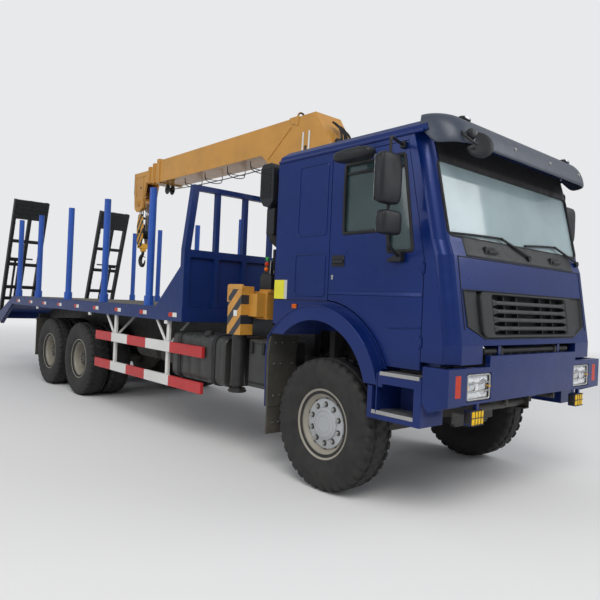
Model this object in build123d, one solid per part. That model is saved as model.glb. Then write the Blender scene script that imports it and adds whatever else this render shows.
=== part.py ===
from build123d import *
import math
import os

os.makedirs("parts", exist_ok=True)

# Truck-mounted crane on a 6x4 flatbed. Millimetres, +Z up, the front faces -Y and the
# truck's right side faces -X. While modelling, Y counts from the front axle and the
# ground is Z = 0; write() moves each piece so that the origin is under the middle.

# Wheels and axles
tyre_radius = 562.5
tyre_width = 315
rim_seat_radius = 254
rim_flange_radius = 303
rim_half_width = 114
rim_flange_thickness = 13
rim_shell = 14
front_wheel_x = 1075
rear_outer_x = 1053
rear_inner_x = 713
rear_axle_ys = (5500, 6830)
hub_radius = 135
drum_radius = 200
spindle_radius = 45
running_gap = 0.08
seat_gap = 0.3
kingpin_x = 900
kingpin_radius = 25
steering_arm_length = 200
moving_gap = 6

# Chassis
frame_half_width = 430
rail_width = 80
rail_wall = 10
rail_bottom = 720
rail_top = 1020
rail_front_y = -1000
rail_rear_y = 8500
cross_member_ys = (1700, 3000, 4300, 5100, 7300, 8400)
spring_width = 80
cab_pivot_y = -1180
cab_pivot_z = 1285
cab_pivot_radius = 20
cab_eye_radius = 32
bumper_front_y = -1270
bumper_rear_y = -1050
bumper_bottom = 910
bumper_top = 1170
bumper_centre_top = 1250
bumper_centre_half = 720
bumper_plate = 40
lamp_low_x = 696
lamp_high_x = 1016
lamp_low_z = 930
lamp_high_z = 1130
lamp_recess = 22
fog_lamp_x = 850
fog_lamp_width = 160
fog_lamp_height = 110
fog_lamp_drop = 50
step_depth = 280
step_front_y = -1045
step_rear_y = -545
upper_step_rear_y = -645
upper_tread_z = 1085
lower_tread_z = 787
tread_plate = 30

# Cab
cab_half_width = 1149
bumper_half_width = cab_half_width + 96
step_half_width = cab_half_width + 101
cab_wall = 60
cab_rear_y = 780
cab_rear_bottom = 1376
cab_floor_z = 1330
cab_floor_thickness = 60
gutter_z = 2905
roof_rise = 140
front_outline = (
    (-1240, 1190),
    (-1240, 1325),
    (-1222, 1450),
    (-1175, 1750),
    (-1140, 1980),
    (-1100, 2090),
    (-960, 2710),
    (-905, 2905),
)
cab_front_low_z = 1325
corner_inner_x = 780
front_corner_radius = 95
screen_low_z = 2125
screen_high_z = 2700
screen_half_width = cab_half_width - 99
screen_thickness = 8
belt_z = 1950
door_front_y = -950
door_rear_y = 43
door_bottom = 1125
door_top = 2850
rear_post_y = 50
door_top_front_y = -760
door_gap = 5
door_hinge_y = -952.5
door_hinge_zs = (1300, 1850)
door_pin_radius = 5
door_knuckle = 60
window_low_z = 2180
window_drop_z = 2010
window_high_z = 2755
window_rear_y = -110
window_step_y = -600
window_front_y = -845
window_top_front_y = -735
arch_y = 100
arch_z = 820
arch_inner_radius = 620
arch_outer_radius = 750
arch_door_radius = 800
arch_half_width = cab_half_width + 101
arch_gap = 11
arch_front_foot_z = 985
arch_rear_foot_z = 1290
grille_half_width = cab_half_width - 164
dashboard_half_width = cab_half_width - 119
grille_low_z = 1372
grille_high_z = 1735
grille_chamfer_x = 245
grille_chamfer_z = 90
grille_side_panel = 385

# Deck and its fittings
deck_half_width = 1250
deck_front_y = 2304
deck_slope_y = 8840
deck_top = 1464
deck_plate = 20
deck_rail_height = 161
deck_rail_width = 60
tail_end_y = 9800
tail_end_z = 1097
bearer_pitch = 480
post_x = deck_half_width - 65
post_ys = (3246, 4638, 6051, 7527, 8690)
post_radius = 46
post_height = 1488
socket_radius = 62
socket_height = 120
headboard_depth = 80
headboard_shoulder_z = 2138
headboard_top_z = 2890
headboard_lean = 90
headboard_bar_xs = (-810, -405, 0, 405, 810)
headboard_bar = 56
headboard_tube = 80
headboard_sheet = 20
gusset_length = 560
gusset_top_z = 1940
guard_post_ys = (2650, 4120)
guard_front_y = 1850
guard_rear_y = 4715
guard_height = 120
guard_depth = 40
guard_tops = (665, 1056)
tank_outer_x = deck_half_width - guard_depth - 10
battery_outer_x = deck_half_width - 110
silencer_outer_x = deck_half_width - 70

# Ramps
ramp_low_x = 553
ramp_high_x = deck_half_width - 30
ramp_length = 2500
ramp_hinge_y = 9905
ramp_hinge_z = 1040
ramp_lean = 18.5
ramp_top_face = 40
ramp_bottom_face = 60
ramp_rail = 60
ramp_bar = 60
ramp_bar_pitch = 500
ramp_plate = 330
ramp_start = 50
hinge_pin_radius = 20
hinge_ear = 30

# Crane
slew_y = 1550
box_front_y = 1020
box_rear_y = 1400
box_low_z = 1400
box_high_z = 1680
box_half_width = 1040
beam_width = 150
beam_height = 190
beam_half_spread = 88
beam_gap = 6
jack_x = 1165
jack_y = 1290
jack_housing = 170
jack_housing_low = 1233
jack_housing_high = 1722
jack_tube_radius = 70
jack_tube_low = 715
leg_radius = 52
leg_rest_z = 650
foot_radius = 85
foot_thickness = 40
bearing_radius = 330
pedestal_top = 1800
turntable_height = 100
mast_half_width = 120
boom_pivot_y = 1280
boom_pivot_z = 3250
boom_pivot_radius = 50
luff_foot_y = 1850
luff_foot_z = 2000
luff_eye_y = 2040
luff_eye_z = 3130
luff_pin_radius = 30
barrel_radius = 80
luff_rod_radius = 50
barrel_length = 1050
boom_half_width = 200
boom_low_z = boom_pivot_z + 160
boom_height = 350
boom_high_z = boom_low_z + boom_height
boom_wall = 12
boom_root_y = 1344
boom_end_y = 5080
lifting_eye_y = 1822
lifting_eye_radius = 55
lifting_eye_bar = 11
lifting_foot_height = 32
section_step = 25
section_nose = 200
section_pad = 8
section_rear_y = (2500, 2640, 2780)
cheek_gap = 12
sheave_y = 5870
sheave_z = 3170
sheave_radius = 130
groove_radius = 105
rope_radius = 9
head_half_width = 90
hook_top_z = 2985
hook_half_width = 82


def box(x, y, z):
    """Box between (low, high) pairs along X, Y and Z."""
    size = [high - low for low, high in (x, y, z)]
    middle = [(high + low) / 2 for low, high in (x, y, z)]
    return Pos(*middle) * Box(*size)


def plate_x(points, x_low, x_high):
    """Prism along X over an outline of (y, z) points."""
    outline = Polyline(*[(x_low, y, z) for y, z in points], close=True)
    return extrude(make_face(outline), amount=x_high - x_low, dir=(1, 0, 0))


def plate_y(points, y_low, y_high):
    """Prism along Y over an outline of (x, z) points."""
    outline = Polyline(*[(x, y_low, z) for x, z in points], close=True)
    return extrude(make_face(outline), amount=y_high - y_low, dir=(0, 1, 0))


def plate_z(points, z_low, z_high):
    """Prism along Z over an outline of (x, y) points."""
    outline = Polyline(*[(x, y, z_low) for x, y in points], close=True)
    return extrude(make_face(outline), amount=z_high - z_low, dir=(0, 0, 1))


def rod_x(radius, x, y, z):
    """Cylinder along X between the two ends of x."""
    return Pos(sum(x) / 2, y, z) * Rot(0, 90, 0) * Cylinder(radius, x[1] - x[0])


def rod_y(radius, x, y, z):
    return Pos(x, sum(y) / 2, z) * Rot(90, 0, 0) * Cylinder(radius, y[1] - y[0])


def rod_z(radius, x, y, z):
    return Pos(x, y, sum(z) / 2) * Cylinder(radius, z[1] - z[0])


def strut(start, end, radius):
    """Round bar from one point to another."""
    start, end = Vector(*start), Vector(*end)
    length = (end - start).length
    plane = Plane(origin=(start + end) / 2, z_dir=end - start)
    return plane * Cylinder(radius, length)


def far_side(shape):
    return mirror(shape, Plane.YZ)


def both_sides(shape):
    return shape + far_side(shape)


def ring(points, x_middle, y, z):
    """Body of revolution about an axis along X, from (offset, radius) points."""
    outline = Polyline(*[(offset, 0, radius) for offset, radius in points], close=True)
    return Pos(x_middle, y, z) * revolve(make_face(outline), Axis.X, 360)


lean = math.radians(ramp_lean)
ramp_rear_y = ramp_hinge_y - ramp_start * math.sin(lean) + ramp_bottom_face * math.cos(lean)
y_middle = (bumper_front_y + ramp_rear_y) / 2


def write(name, shape):
    solids = Pos(0, -y_middle, 0) * shape
    export_step(solids, os.path.join("parts", name + ".step"))


# Wheels

def tyre(x_middle, y):
    half = tyre_width / 2
    bead = rim_seat_radius + seat_gap
    bead_half = rim_half_width - seat_gap
    points = (
        (-bead_half, bead),
        (-bead_half, rim_flange_radius + 8),
        (-half, (tyre_radius + bead) / 2),
        (-half + 12, tyre_radius - 45),
        (-half + 45, tyre_radius),
        (half - 45, tyre_radius),
        (half - 12, tyre_radius - 45),
        (half, (tyre_radius + bead) / 2),
        (bead_half, rim_flange_radius + 8),
        (bead_half, bead),
    )
    return ring(points, x_middle, y, tyre_radius)


def rim(x_middle, y, disc_side, disc_x):
    """Rim barrel with its flanges, and a disc at disc_x on the side of disc_side."""
    inner = rim_seat_radius - rim_shell
    outer_end = rim_half_width + rim_flange_thickness
    barrel = (
        (-outer_end, inner),
        (-outer_end, rim_flange_radius),
        (-rim_half_width, rim_flange_radius),
        (-rim_half_width, rim_seat_radius),
        (rim_half_width, rim_seat_radius),
        (rim_half_width, rim_flange_radius),
        (outer_end, rim_flange_radius),
        (outer_end, inner),
    )
    shell = ring(barrel, x_middle, y, tyre_radius)
    ends = sorted((disc_x, disc_x + disc_side * rim_shell))
    disc = rod_x(inner + 2, ends, y, tyre_radius)
    return shell + disc


def front_wheel(side):
    """Front rim, its disc near the outer face, with drum and hub; side -1 is the right."""
    x = side * front_wheel_x
    disc_x = side * (front_wheel_x + 62)
    wheel = rim(x, 0, side, disc_x)
    hub_end = side * (front_wheel_x + 105)
    inner_end = side * (kingpin_x + 85)
    hub = rod_x(hub_radius, sorted((inner_end, hub_end)), 0, tyre_radius)
    drum_ends = sorted((side * (kingpin_x + 82), disc_x + side * rim_shell))
    drum = rod_x(drum_radius, drum_ends, 0, tyre_radius)
    cavity_ends = sorted((side * (kingpin_x + 80), disc_x - side * 40))
    drum -= rod_x(drum_radius - 16, cavity_ends, 0, tyre_radius)
    wheel += drum + hub
    bore_ends = sorted((side * (kingpin_x + 60), side * (front_wheel_x + 75)))
    return wheel - rod_x(spindle_radius + running_gap, bore_ends, 0, tyre_radius)


def rear_wheel(side, y):
    """Twin rims with their discs side by side on one hub, and the drum inside."""
    reach = rim_half_width + rim_flange_thickness
    outer_disc = side * (rear_outer_x - reach)
    inner_disc = side * (rear_inner_x + reach)
    wheel = rim(side * rear_outer_x, y, side, outer_disc)
    wheel += rim(side * rear_inner_x, y, -side, inner_disc)
    wheel += rod_x(hub_radius + 40, sorted((inner_disc, outer_disc)), y, tyre_radius)
    hub_ends = sorted((side * (rear_inner_x - 60), side * (rear_outer_x + 60)))
    wheel += rod_x(hub_radius, hub_ends, y, tyre_radius)
    drum_ends = sorted((side * (rear_inner_x - 150), inner_disc))
    drum = rod_x(drum_radius, drum_ends, y, tyre_radius)
    cavity_ends = sorted((side * (rear_inner_x - 151), inner_disc - side * 40))
    drum -= rod_x(drum_radius - 16, cavity_ends, y, tyre_radius)
    wheel += drum
    bore_ends = sorted((side * (rear_inner_x - 151), side * (rear_outer_x + 30)))
    return wheel - rod_x(spindle_radius + running_gap, bore_ends, y, tyre_radius)


def knuckle(side):
    """Steering knuckle: forked ears on the kingpin, brake plate, spindle and arm."""
    z = tyre_radius - 20
    eye_half = 60
    ear = 50
    x = side * kingpin_x
    reach = side * (kingpin_x + 62)
    plate_ends = sorted((reach, side * (kingpin_x + 76)))
    piece = rod_x(drum_radius - 22, plate_ends, 0, tyre_radius)
    for low in (z - eye_half - moving_gap - ear, z + eye_half + moving_gap):
        piece += rod_z(50, x, 0, (low, low + ear))
        piece += box(sorted((x, reach)), (-50, 50), (low, low + ear))
    piece += rod_z(kingpin_radius, x, 0, (z - eye_half - 60, z + eye_half + 60))
    spindle_ends = sorted((reach, side * (front_wheel_x + 70)))
    piece += rod_x(spindle_radius, spindle_ends, 0, tyre_radius)
    arm_low = z - eye_half - moving_gap - ear
    piece += box((x - 25, x + 25), (0, steering_arm_length), (arm_low, arm_low + 40))
    piece += rod_z(30, x, steering_arm_length, (arm_low, arm_low + 40))
    return piece + rod_z(12, x, steering_arm_length, (arm_low - 60, arm_low))


def tie_rod():
    """Track rod whose eyes hang on the ball pins of the two steering arms."""
    arm_low = tyre_radius - 20 - 60 - moving_gap - 50
    z = arm_low - 30
    piece = rod_x(18, (-kingpin_x, kingpin_x), steering_arm_length, z)
    for x in (-kingpin_x, kingpin_x):
        piece += rod_z(28, x, steering_arm_length, (z - 22, z + 22))
    for x in (-kingpin_x, kingpin_x):
        piece -= rod_z(12 + running_gap, x, steering_arm_length, (z - 40, z + 40))
    return piece


def front_axle():
    """Beam with its kingpin eyes, and the two leaf springs clamped on it."""
    z = tyre_radius - 20
    x = kingpin_x
    points = (
        (-x, z - 50), (-x + 200, z - 60), (-550, 420), (550, 420), (x - 200, z - 60),
        (x, z - 50), (x, z + 50), (x - 200, z + 40), (550, 520), (-550, 520),
        (-x + 200, z + 40), (-x, z + 50),
    )
    beam = plate_y(points, -50, 50)
    for side in (-1, 1):
        beam += rod_z(55, side * x, 0, (z - 60, z + 60))
    for side in (-1, 1):
        beam -= rod_z(kingpin_radius + running_gap, side * x, 0, (z - 80, z + 80))
    leaf = (
        (-770, rail_bottom), (-700, rail_bottom), (-60, 590), (60, 590), (760, rail_bottom),
        (840, rail_bottom), (840, 685), (60, 520), (-60, 520), (-770, 685),
    )
    middle = frame_half_width - rail_width / 2
    spring = plate_x(leaf, middle - spring_width / 2, middle + spring_width / 2)
    return beam + both_sides(spring)


def rear_bogie():
    """Two driven axles, their springs on a centre trunnion, and the shafts."""
    z = tyre_radius
    middle_y = sum(rear_axle_ys) / 2
    middle_x = frame_half_width - rail_width / 2
    piece = None
    for y in rear_axle_ys:
        axle = rod_x(75, (-rear_inner_x + 160, rear_inner_x - 160), y, z)
        axle += rod_x(spindle_radius, (-rear_outer_x, rear_outer_x), y, z)
        axle += Pos(0, y, z) * Sphere(195)
        piece = axle if piece is None else piece + axle
    front_y, rear_y = rear_axle_ys
    pad = 70
    leaf = (
        (front_y - pad, z + 60), (front_y + pad, z + 60), (middle_y - 110, z - 20),
        (middle_y + 110, z - 20), (rear_y - pad, z + 60), (rear_y + pad, z + 60),
        (rear_y + pad, z + 115), (rear_y - pad, z + 115), (middle_y, z + 60),
        (front_y + pad, z + 115), (front_y - pad, z + 115),
    )
    spring = plate_x(leaf, middle_x - spring_width / 2, middle_x + spring_width / 2)
    spring += box(
        (middle_x - 50, middle_x + 50), (middle_y - 90, middle_y + 90), (z - 60, rail_bottom)
    )
    piece += both_sides(spring)
    piece += rod_x(50, (-middle_x, middle_x), middle_y, z - 20)
    piece += strut((0, gearbox_end_y + 6, gearbox_z), (0, front_y, z + 40), 50)
    return piece + strut((0, front_y, z + 20), (0, rear_y, z + 20), 50)


# Chassis

gearbox_end_y = 1100
gearbox_z = 840
engine_half_width = 330


def engine():
    """Engine and gearbox as one plain block on its mounts."""
    web = frame_half_width - rail_wall
    piece = box((-engine_half_width, engine_half_width), (-700, 560), (600, 1215))
    piece += box((-210, 210), (560, gearbox_end_y), (gearbox_z - 170, gearbox_z + 160))
    for y in (-500, 400):
        piece += box((-web, web), (y, y + 90), (800, 900))
    return piece


def frame():
    """Two channel rails, cross members and the cab's brackets."""
    high = frame_half_width
    low = high - rail_width
    rail = box((low, high), (rail_front_y, rail_rear_y), (rail_bottom, rail_top))
    rail -= box(
        (low - 1, high - rail_wall),
        (rail_front_y - 1, rail_rear_y + 1),
        (rail_bottom + rail_wall, rail_top - rail_wall),
    )
    web = high - rail_wall / 2
    piece = both_sides(rail)
    for y in cross_member_ys:
        piece += rod_x(38, (-web, web), y, rail_top - 50)
    piece += rod_x(38, (-web, web), rail_front_y + 70, rail_bottom + 60)
    eye = cab_eye_radius
    bracket = plate_x(
        (
            (rail_front_y, rail_bottom + 60), (rail_front_y + 240, rail_bottom + 60),
            (rail_front_y + 240, rail_top), (cab_pivot_y + 60, cab_pivot_z + eye),
            (cab_pivot_y - 12, cab_pivot_z + eye), (cab_pivot_y - eye, cab_pivot_z + 12),
            (cab_pivot_y - eye, cab_pivot_z - 60), (rail_front_y, rail_top - 30),
        ),
        high,
        high + 40,
    )
    bracket += rod_x(cab_pivot_radius, (high, high + 95), cab_pivot_y, cab_pivot_z)
    stand_top = cab_floor_z - seat_gap
    stand = box((low, high + 60), (590, 660), (rail_top, stand_top))
    return piece + both_sides(bracket + stand)


def bumper():
    """Bent plate bumper with a raised centre, lamp openings and two arms."""
    low, high = bumper_bottom, bumper_top
    outline = (
        (-bumper_half_width, low), (bumper_half_width, low), (bumper_half_width, high),
        (bumper_centre_half, high), (bumper_centre_half, bumper_centre_top),
        (-bumper_centre_half, bumper_centre_top), (-bumper_centre_half, high),
        (-bumper_half_width, high),
    )
    piece = plate_y(outline, bumper_front_y, bumper_front_y + bumper_plate)
    cheek = plate_x(
        (
            (bumper_front_y, low), (bumper_rear_y - 60, low - 60), (bumper_rear_y, low),
            (bumper_rear_y, high), (bumper_front_y, high),
        ),
        bumper_half_width - bumper_plate,
        bumper_half_width,
    )
    opening = box(
        (lamp_low_x, lamp_high_x),
        (bumper_front_y - 1, bumper_front_y + bumper_plate + 1),
        (lamp_low_z, lamp_high_z),
    )
    arm = box(
        (frame_half_width - rail_width, frame_half_width),
        (bumper_front_y + bumper_plate, rail_front_y),
        (rail_top - 100, rail_top),
    )
    fog_top = low - fog_lamp_drop
    fog = box(
        (fog_lamp_x - fog_lamp_width / 2, fog_lamp_x + fog_lamp_width / 2),
        (bumper_front_y + 10, bumper_front_y + 70),
        (fog_top - fog_lamp_height, fog_top),
    )
    fog += box(
        (fog_lamp_x - 15, fog_lamp_x + 15),
        (bumper_front_y + 10, bumper_front_y + bumper_plate),
        (fog_top - 10, low + 10),
    )
    return (piece - both_sides(opening)) + both_sides(cheek + arm + fog)


def headlamps():
    """Two lamp bodies that sit in the bumper's openings, flanged behind the plate."""
    gap = 4
    back = bumper_front_y + bumper_plate
    lamp = box(
        (lamp_low_x + gap, lamp_high_x - gap),
        (bumper_front_y + lamp_recess, back),
        (lamp_low_z + gap, lamp_high_z - gap),
    )
    lamp += box(
        (lamp_low_x - 20, lamp_high_x + 20),
        (back, back + 90),
        (lamp_low_z - 20, lamp_high_z + 20),
    )
    return both_sides(lamp)


def cab_steps():
    """Two-tread step box on each side, its rear wall slanted clear of the wheel."""
    outer = step_half_width
    inner = outer - step_depth
    base = lower_tread_z - 60
    wall = 30
    plan = (
        (inner, step_front_y), (outer, step_front_y), (outer, step_rear_y),
        (inner, step_rear_y - 80),
    )
    lower = plate_z(plan, base, arch_front_foot_z - 10)
    riser_y = (step_front_y, upper_step_rear_y)
    upper = box((inner, outer), riser_y, (arch_front_foot_z - 10, upper_tread_z))
    piece = lower + upper
    pocket = (
        (inner + wall, step_front_y + 60), (outer + 1, step_front_y + 60),
        (outer + 1, step_rear_y - 45), (inner + wall, step_rear_y - 130),
    )
    pocket_high = upper_tread_z - tread_plate - 55
    piece -= plate_z(pocket, lower_tread_z, arch_front_foot_z - 11)
    piece -= box(
        (inner + wall, outer + 1), (step_front_y + 60, upper_step_rear_y - 45),
        (arch_front_foot_z - 12, pocket_high),
    )
    arm = box(
        (frame_half_width + 40, inner + wall), (step_front_y + 120, step_front_y + 200),
        (rail_bottom + 80, rail_bottom + 160),
    )
    return both_sides(piece + arm)


def mudguards():
    """Front mudguards behind the front wheels, and flaps behind the rear wheels."""
    guard = plate_x(
        ((690, 600), (720, 600), (735, 1100), (715, 1262), (670, 1262), (700, 1100)),
        905,
        arch_half_width - 5,
    )
    guard += box((905, arch_half_width - 10), (696, 714), (345, 601))
    guard += box((frame_half_width, 910), (690, 730), (rail_top - 120, rail_top - 60))
    rear_y = rear_axle_ys[1] + tyre_radius + 110
    flap_x = (560, deck_half_width - 50)
    flap = box(flap_x, (rear_y, rear_y + 16), (430, 1060))
    flap += box(flap_x, (rear_y, rear_y + 50), (1060, 1100))
    flap += box((frame_half_width, 561), (rear_y, rear_y + 50), (960, 1100))
    return both_sides(guard + flap)


def fuel_tank():
    """Fuel tank on the right, with rounded long edges, on two brackets."""
    tank = box((-tank_outer_x, -640), (1480, 2570), (660, 1190))
    tank = fillet(tank.edges().filter_by(Axis.Y), 85)
    for y in (1640, 2330):
        tank += box((-760, -frame_half_width), (y, y + 80), (760, 860))
    return tank


def side_boxes():
    """Battery box on the right behind the front wheel, silencer box on the left."""
    battery = box((-battery_outer_x, -640), (840, 1160), (720, 1195))
    battery += box((-700, -frame_half_width), (960, 1040), (790, 880))
    silencer = box((560, silencer_outer_x), (1500, 2420), (640, 1160))
    silencer = fillet(silencer.edges().filter_by(Axis.Y), 70)
    for y in (1640, 2200):
        silencer += box((frame_half_width, 700), (y, y + 80), (790, 880))
    return battery + silencer


def side_guards():
    """Two rails on two hanging posts, and their struts, on each side."""
    outer = deck_half_width
    inner = outer - guard_depth
    top = deck_top - deck_rail_height
    piece = None
    for y in guard_post_ys:
        post = box((inner - 30, inner), (y, y + 60), (guard_tops[0] - guard_height, top))
        post += strut((inner - 15, y + 30, guard_tops[1] - 60), (outer - 330, y + 30, top - 15), 18)
        piece = post if piece is None else piece + post
    for high in guard_tops:
        piece += box((inner, outer), (guard_front_y, guard_rear_y), (high - guard_height, high))
    return both_sides(piece)


# Deck

def deck_frame():
    """Two long beams on the chassis rails and the cross bearers under the deck."""
    low = frame_half_width - rail_width
    bearer_low = deck_top - deck_rail_height
    bearer_high = deck_top - deck_plate
    inside = deck_half_width - deck_rail_width
    beam = box((low, frame_half_width), (deck_front_y + 40, rail_rear_y), (rail_top, bearer_low))
    piece = both_sides(beam)
    count = math.floor((deck_slope_y - deck_front_y - 200) / bearer_pitch)
    for i in range(count + 1):
        y = deck_front_y + 100 + i * bearer_pitch
        piece += box((-inside, inside), (y, y + 60), (bearer_low, bearer_high))
    piece += both_sides(
        plate_x(
            ((rail_rear_y, rail_top), (rail_rear_y + 700, 1010), (rail_rear_y + 700, 1130),
             (deck_slope_y - 100, bearer_low), (rail_rear_y, bearer_low)),
            low,
            frame_half_width,
        )
    )
    end_y = rail_rear_y + 700
    return piece + box((-640, 640), (end_y - 80, end_y), (1010, 1120))


def slope_z(y):
    """Height of the tail slope's top face at y."""
    share = (y - deck_slope_y) / (tail_end_y - deck_slope_y)
    return deck_top + share * (tail_end_z - deck_top)


def deck():
    """Deck plate, side rails, the sloping tail and the ramps' hinge ears."""
    inside = deck_half_width - deck_rail_width
    low = deck_top - deck_rail_height
    piece = box(
        (-deck_half_width, deck_half_width), (deck_front_y, deck_slope_y),
        (deck_top - deck_plate, deck_top),
    )
    rail = box((inside, deck_half_width), (deck_front_y, deck_slope_y), (low, deck_top))
    rail += plate_x(
        (
            (deck_slope_y, deck_top), (tail_end_y, tail_end_z), (tail_end_y, tail_end_z - 120),
            (tail_end_y - 190, tail_end_z - 217), (deck_slope_y + 35, low), (deck_slope_y, low),
        ),
        inside,
        deck_half_width,
    )
    piece += both_sides(rail)
    piece += box((-inside, inside), (deck_front_y, deck_front_y + 20), (low, deck_top))
    slope = plate_x(
        (
            (deck_slope_y, deck_top), (tail_end_y, tail_end_z),
            (tail_end_y, tail_end_z - deck_plate), (deck_slope_y, deck_top - deck_plate),
        ),
        -inside,
        inside,
    )
    end = box((-inside, inside), (tail_end_y - 60, tail_end_y), (tail_end_z - 120, tail_end_z - 5))
    piece += slope + end
    for x in ear_positions():
        ear = plate_x(
            (
                (tail_end_y - 30, tail_end_z - 110), (ramp_hinge_y, ramp_hinge_z - hinge_ear),
                (ramp_hinge_y + hinge_ear, ramp_hinge_z),
                (ramp_hinge_y, ramp_hinge_z + hinge_ear - 2),
                (tail_end_y - 30, ramp_hinge_z + hinge_ear - 2),
            ),
            x,
            x + hinge_ear,
        )
        pin_ends = (x - lug_reach, x + hinge_ear + lug_reach)
        ear += rod_x(hinge_pin_radius, pin_ends, ramp_hinge_y, ramp_hinge_z)
        piece += both_sides(ear)
    return piece


lug_reach = 28


def ear_positions():
    """Low faces along X of the two deck ears that carry a ramp."""
    return (ramp_low_x + 95, ramp_high_x - 95 - hinge_ear)


def ramp():
    """Ladder ramp on the left, standing raised and leaning forwards."""
    low, high = -ramp_bottom_face, ramp_top_face
    middle = (ramp_low_x + ramp_high_x) / 2
    end = ramp_length

    def bar(x, along, across):
        return box(x, along, across)

    piece = bar((ramp_low_x, ramp_low_x + ramp_rail), (ramp_start, end), (low, high))
    piece += bar((ramp_high_x - ramp_rail, ramp_high_x), (ramp_start, end), (low, high))
    piece += bar((middle - 30, middle + 30), (ramp_start, end), (low + 15, high))
    bar_start = end - ramp_plate
    inside = (ramp_low_x + ramp_rail / 2, ramp_high_x - ramp_rail / 2)
    piece += bar(inside, (bar_start, end), (high - 15, high))
    while bar_start > ramp_start:
        piece += bar(inside, (bar_start - ramp_bar, bar_start), (high - 50, high))
        bar_start -= ramp_bar_pitch
    piece += bar(inside, (ramp_start, ramp_start + ramp_bar), (low, high))
    for x in (middle + 50, middle + 130):
        piece += bar((x, x + 30), (330, 1250), (low - 40, low + 25))
    piece += bar((middle - 30, middle + 260), (330, 390), (low - 30, low + 20))
    piece += bar((middle - 30, middle + 260), (1190, 1250), (low - 30, low + 20))
    for x in ear_positions():
        for face in (x - seat_gap - lug_reach + 4, x + hinge_ear + seat_gap):
            lug = bar((face, face + lug_reach - 4), (0, ramp_start + 30), (-28, 28))
            lug += rod_x(28, (face, face + lug_reach - 4), 0, 0)
            piece += lug
    for x in ear_positions():
        pin_ends = (x - lug_reach - 5, x + hinge_ear + lug_reach + 5)
        piece -= rod_x(hinge_pin_radius + running_gap, pin_ends, 0, 0)
    # Along the ramp is +Y, its driving face +Z; turn it up to stand, leaning forwards.
    return Pos(0, ramp_hinge_y, ramp_hinge_z) * Rot(90 + ramp_lean, 0, 0) * piece


def headboard():
    """Frame of tubes behind the crane, with a sheet in its lower half and side gussets."""
    near, far = deck_front_y, deck_front_y + headboard_depth
    outer = deck_half_width
    tube = headboard_tube
    side = plate_y(
        (
            (outer - tube, deck_top), (outer, deck_top), (outer, headboard_shoulder_z),
            (outer - headboard_lean, headboard_top_z),
            (outer - headboard_lean - tube, headboard_top_z),
            (outer - tube, headboard_shoulder_z),
        ),
        near,
        far,
    )
    gusset = plate_x(
        ((far, deck_top), (far + gusset_length, deck_top), (far, gusset_top_z)),
        outer - headboard_sheet,
        outer,
    )
    piece = both_sides(side + gusset)
    half_top = outer - headboard_lean - tube / 2
    piece += box((-half_top, half_top), (near, far), (headboard_top_z - 60, headboard_top_z))
    beam = (headboard_shoulder_z - 85, headboard_shoulder_z)
    piece += box((-outer + tube / 2, outer - tube / 2), (near, far), beam)
    for x in headboard_bar_xs:
        upright = (x - headboard_bar / 2, x + headboard_bar / 2)
        piece += box(upright, (near + 8, far - 8), (headboard_shoulder_z, headboard_top_z - 60))
        piece += box(upright, (near, near + 40), (deck_top, headboard_shoulder_z))
    sheet = (near + 35, near + 35 + headboard_sheet)
    return piece + box(
        (-outer + tube / 2, outer - tube / 2), sheet, (deck_top, headboard_shoulder_z)
    )


def stake_posts():
    """Five round posts in sockets along each edge of the deck."""
    piece = None
    for y in post_ys:
        post = rod_z(post_radius, post_x, y, (deck_top, deck_top + post_height))
        post += rod_z(socket_radius, post_x, y, (deck_top, deck_top + socket_height))
        piece = post if piece is None else piece + post
    return both_sides(piece)


# Cab

def front_y(z):
    """Y of the cab's outer front face at height z, on its centre line."""
    for (y_low, z_low), (y_high, z_high) in zip(front_outline, front_outline[1:]):
        if z <= z_high:
            return y_low + (y_high - y_low) * (z - z_low) / (z_high - z_low)
    return front_outline[-1][0]


def pillar_y(z):
    """Y of the door's front edge at height z."""
    share = max(0, min(z, door_top) - belt_z) / (door_top - belt_z)
    return door_front_y + share * (door_top_front_y - door_front_y)


def cab_section(z, inset):
    """Plan outline of the cab's front at height z, drawn in by inset."""
    front = front_y(z) + inset
    back = pillar_y(z) - door_gap + (1 if inset else 0)
    half = cab_half_width - inset
    radius = front_corner_radius - inset * 0.6
    with BuildSketch(Plane.XY.offset(z)) as sketch:
        with BuildLine():
            Polyline((-half, front + radius), (-half, back), (half, back), (half, front + radius))
            RadiusArc((half, front + radius), (half - radius, front), -radius)
            Line((half - radius, front), (-half + radius, front))
            RadiusArc((-half + radius, front), (-half, front + radius), -radius)
        make_face()
    return sketch.sketch


def cab_front():
    """Front of the cab: lower panel, corner pillars and the windscreen's frame."""
    levels = sorted([z for _, z in front_outline] + [belt_z, door_top])
    shell = loft([cab_section(z, 0) for z in levels], ruled=True)
    hollow = loft([cab_section(z, cab_wall) for z in levels], ruled=True)
    piece = shell - hollow
    through = (bumper_front_y - 130, door_top_front_y + 60)
    piece -= box((-corner_inner_x, corner_inner_x), through, (cab_front_low_z - 225, cab_front_low_z))
    for z in door_hinge_zs:
        x, y, top = cab_half_width, door_hinge_y, z + door_knuckle
        piece -= both_sides(rod_z(2 * door_pin_radius + 5, x, y, (z - 5, top + 5)))
        pin = rod_z(door_pin_radius, x, y, (z - 15, top + 15))
        pin += rod_z(door_pin_radius + 3, x, y, (z - 15, z - 5))
        pin += rod_z(door_pin_radius + 3, x, y, (top + 5, top + 15))
        piece += both_sides(pin)
    piece -= box(
        (-screen_half_width, screen_half_width), through, (screen_low_z, screen_high_z)
    )
    half = grille_half_width
    opening = plate_y(
        (
            (-half, grille_high_z), (half, grille_high_z),
            (half - 15, grille_low_z + grille_chamfer_z), (half - grille_chamfer_x, grille_low_z),
            (-half + grille_chamfer_x, grille_low_z), (-half + 15, grille_low_z + grille_chamfer_z),
        ),
        bumper_front_y - 130,
        bumper_front_y + 270,
    )
    return piece - opening


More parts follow.
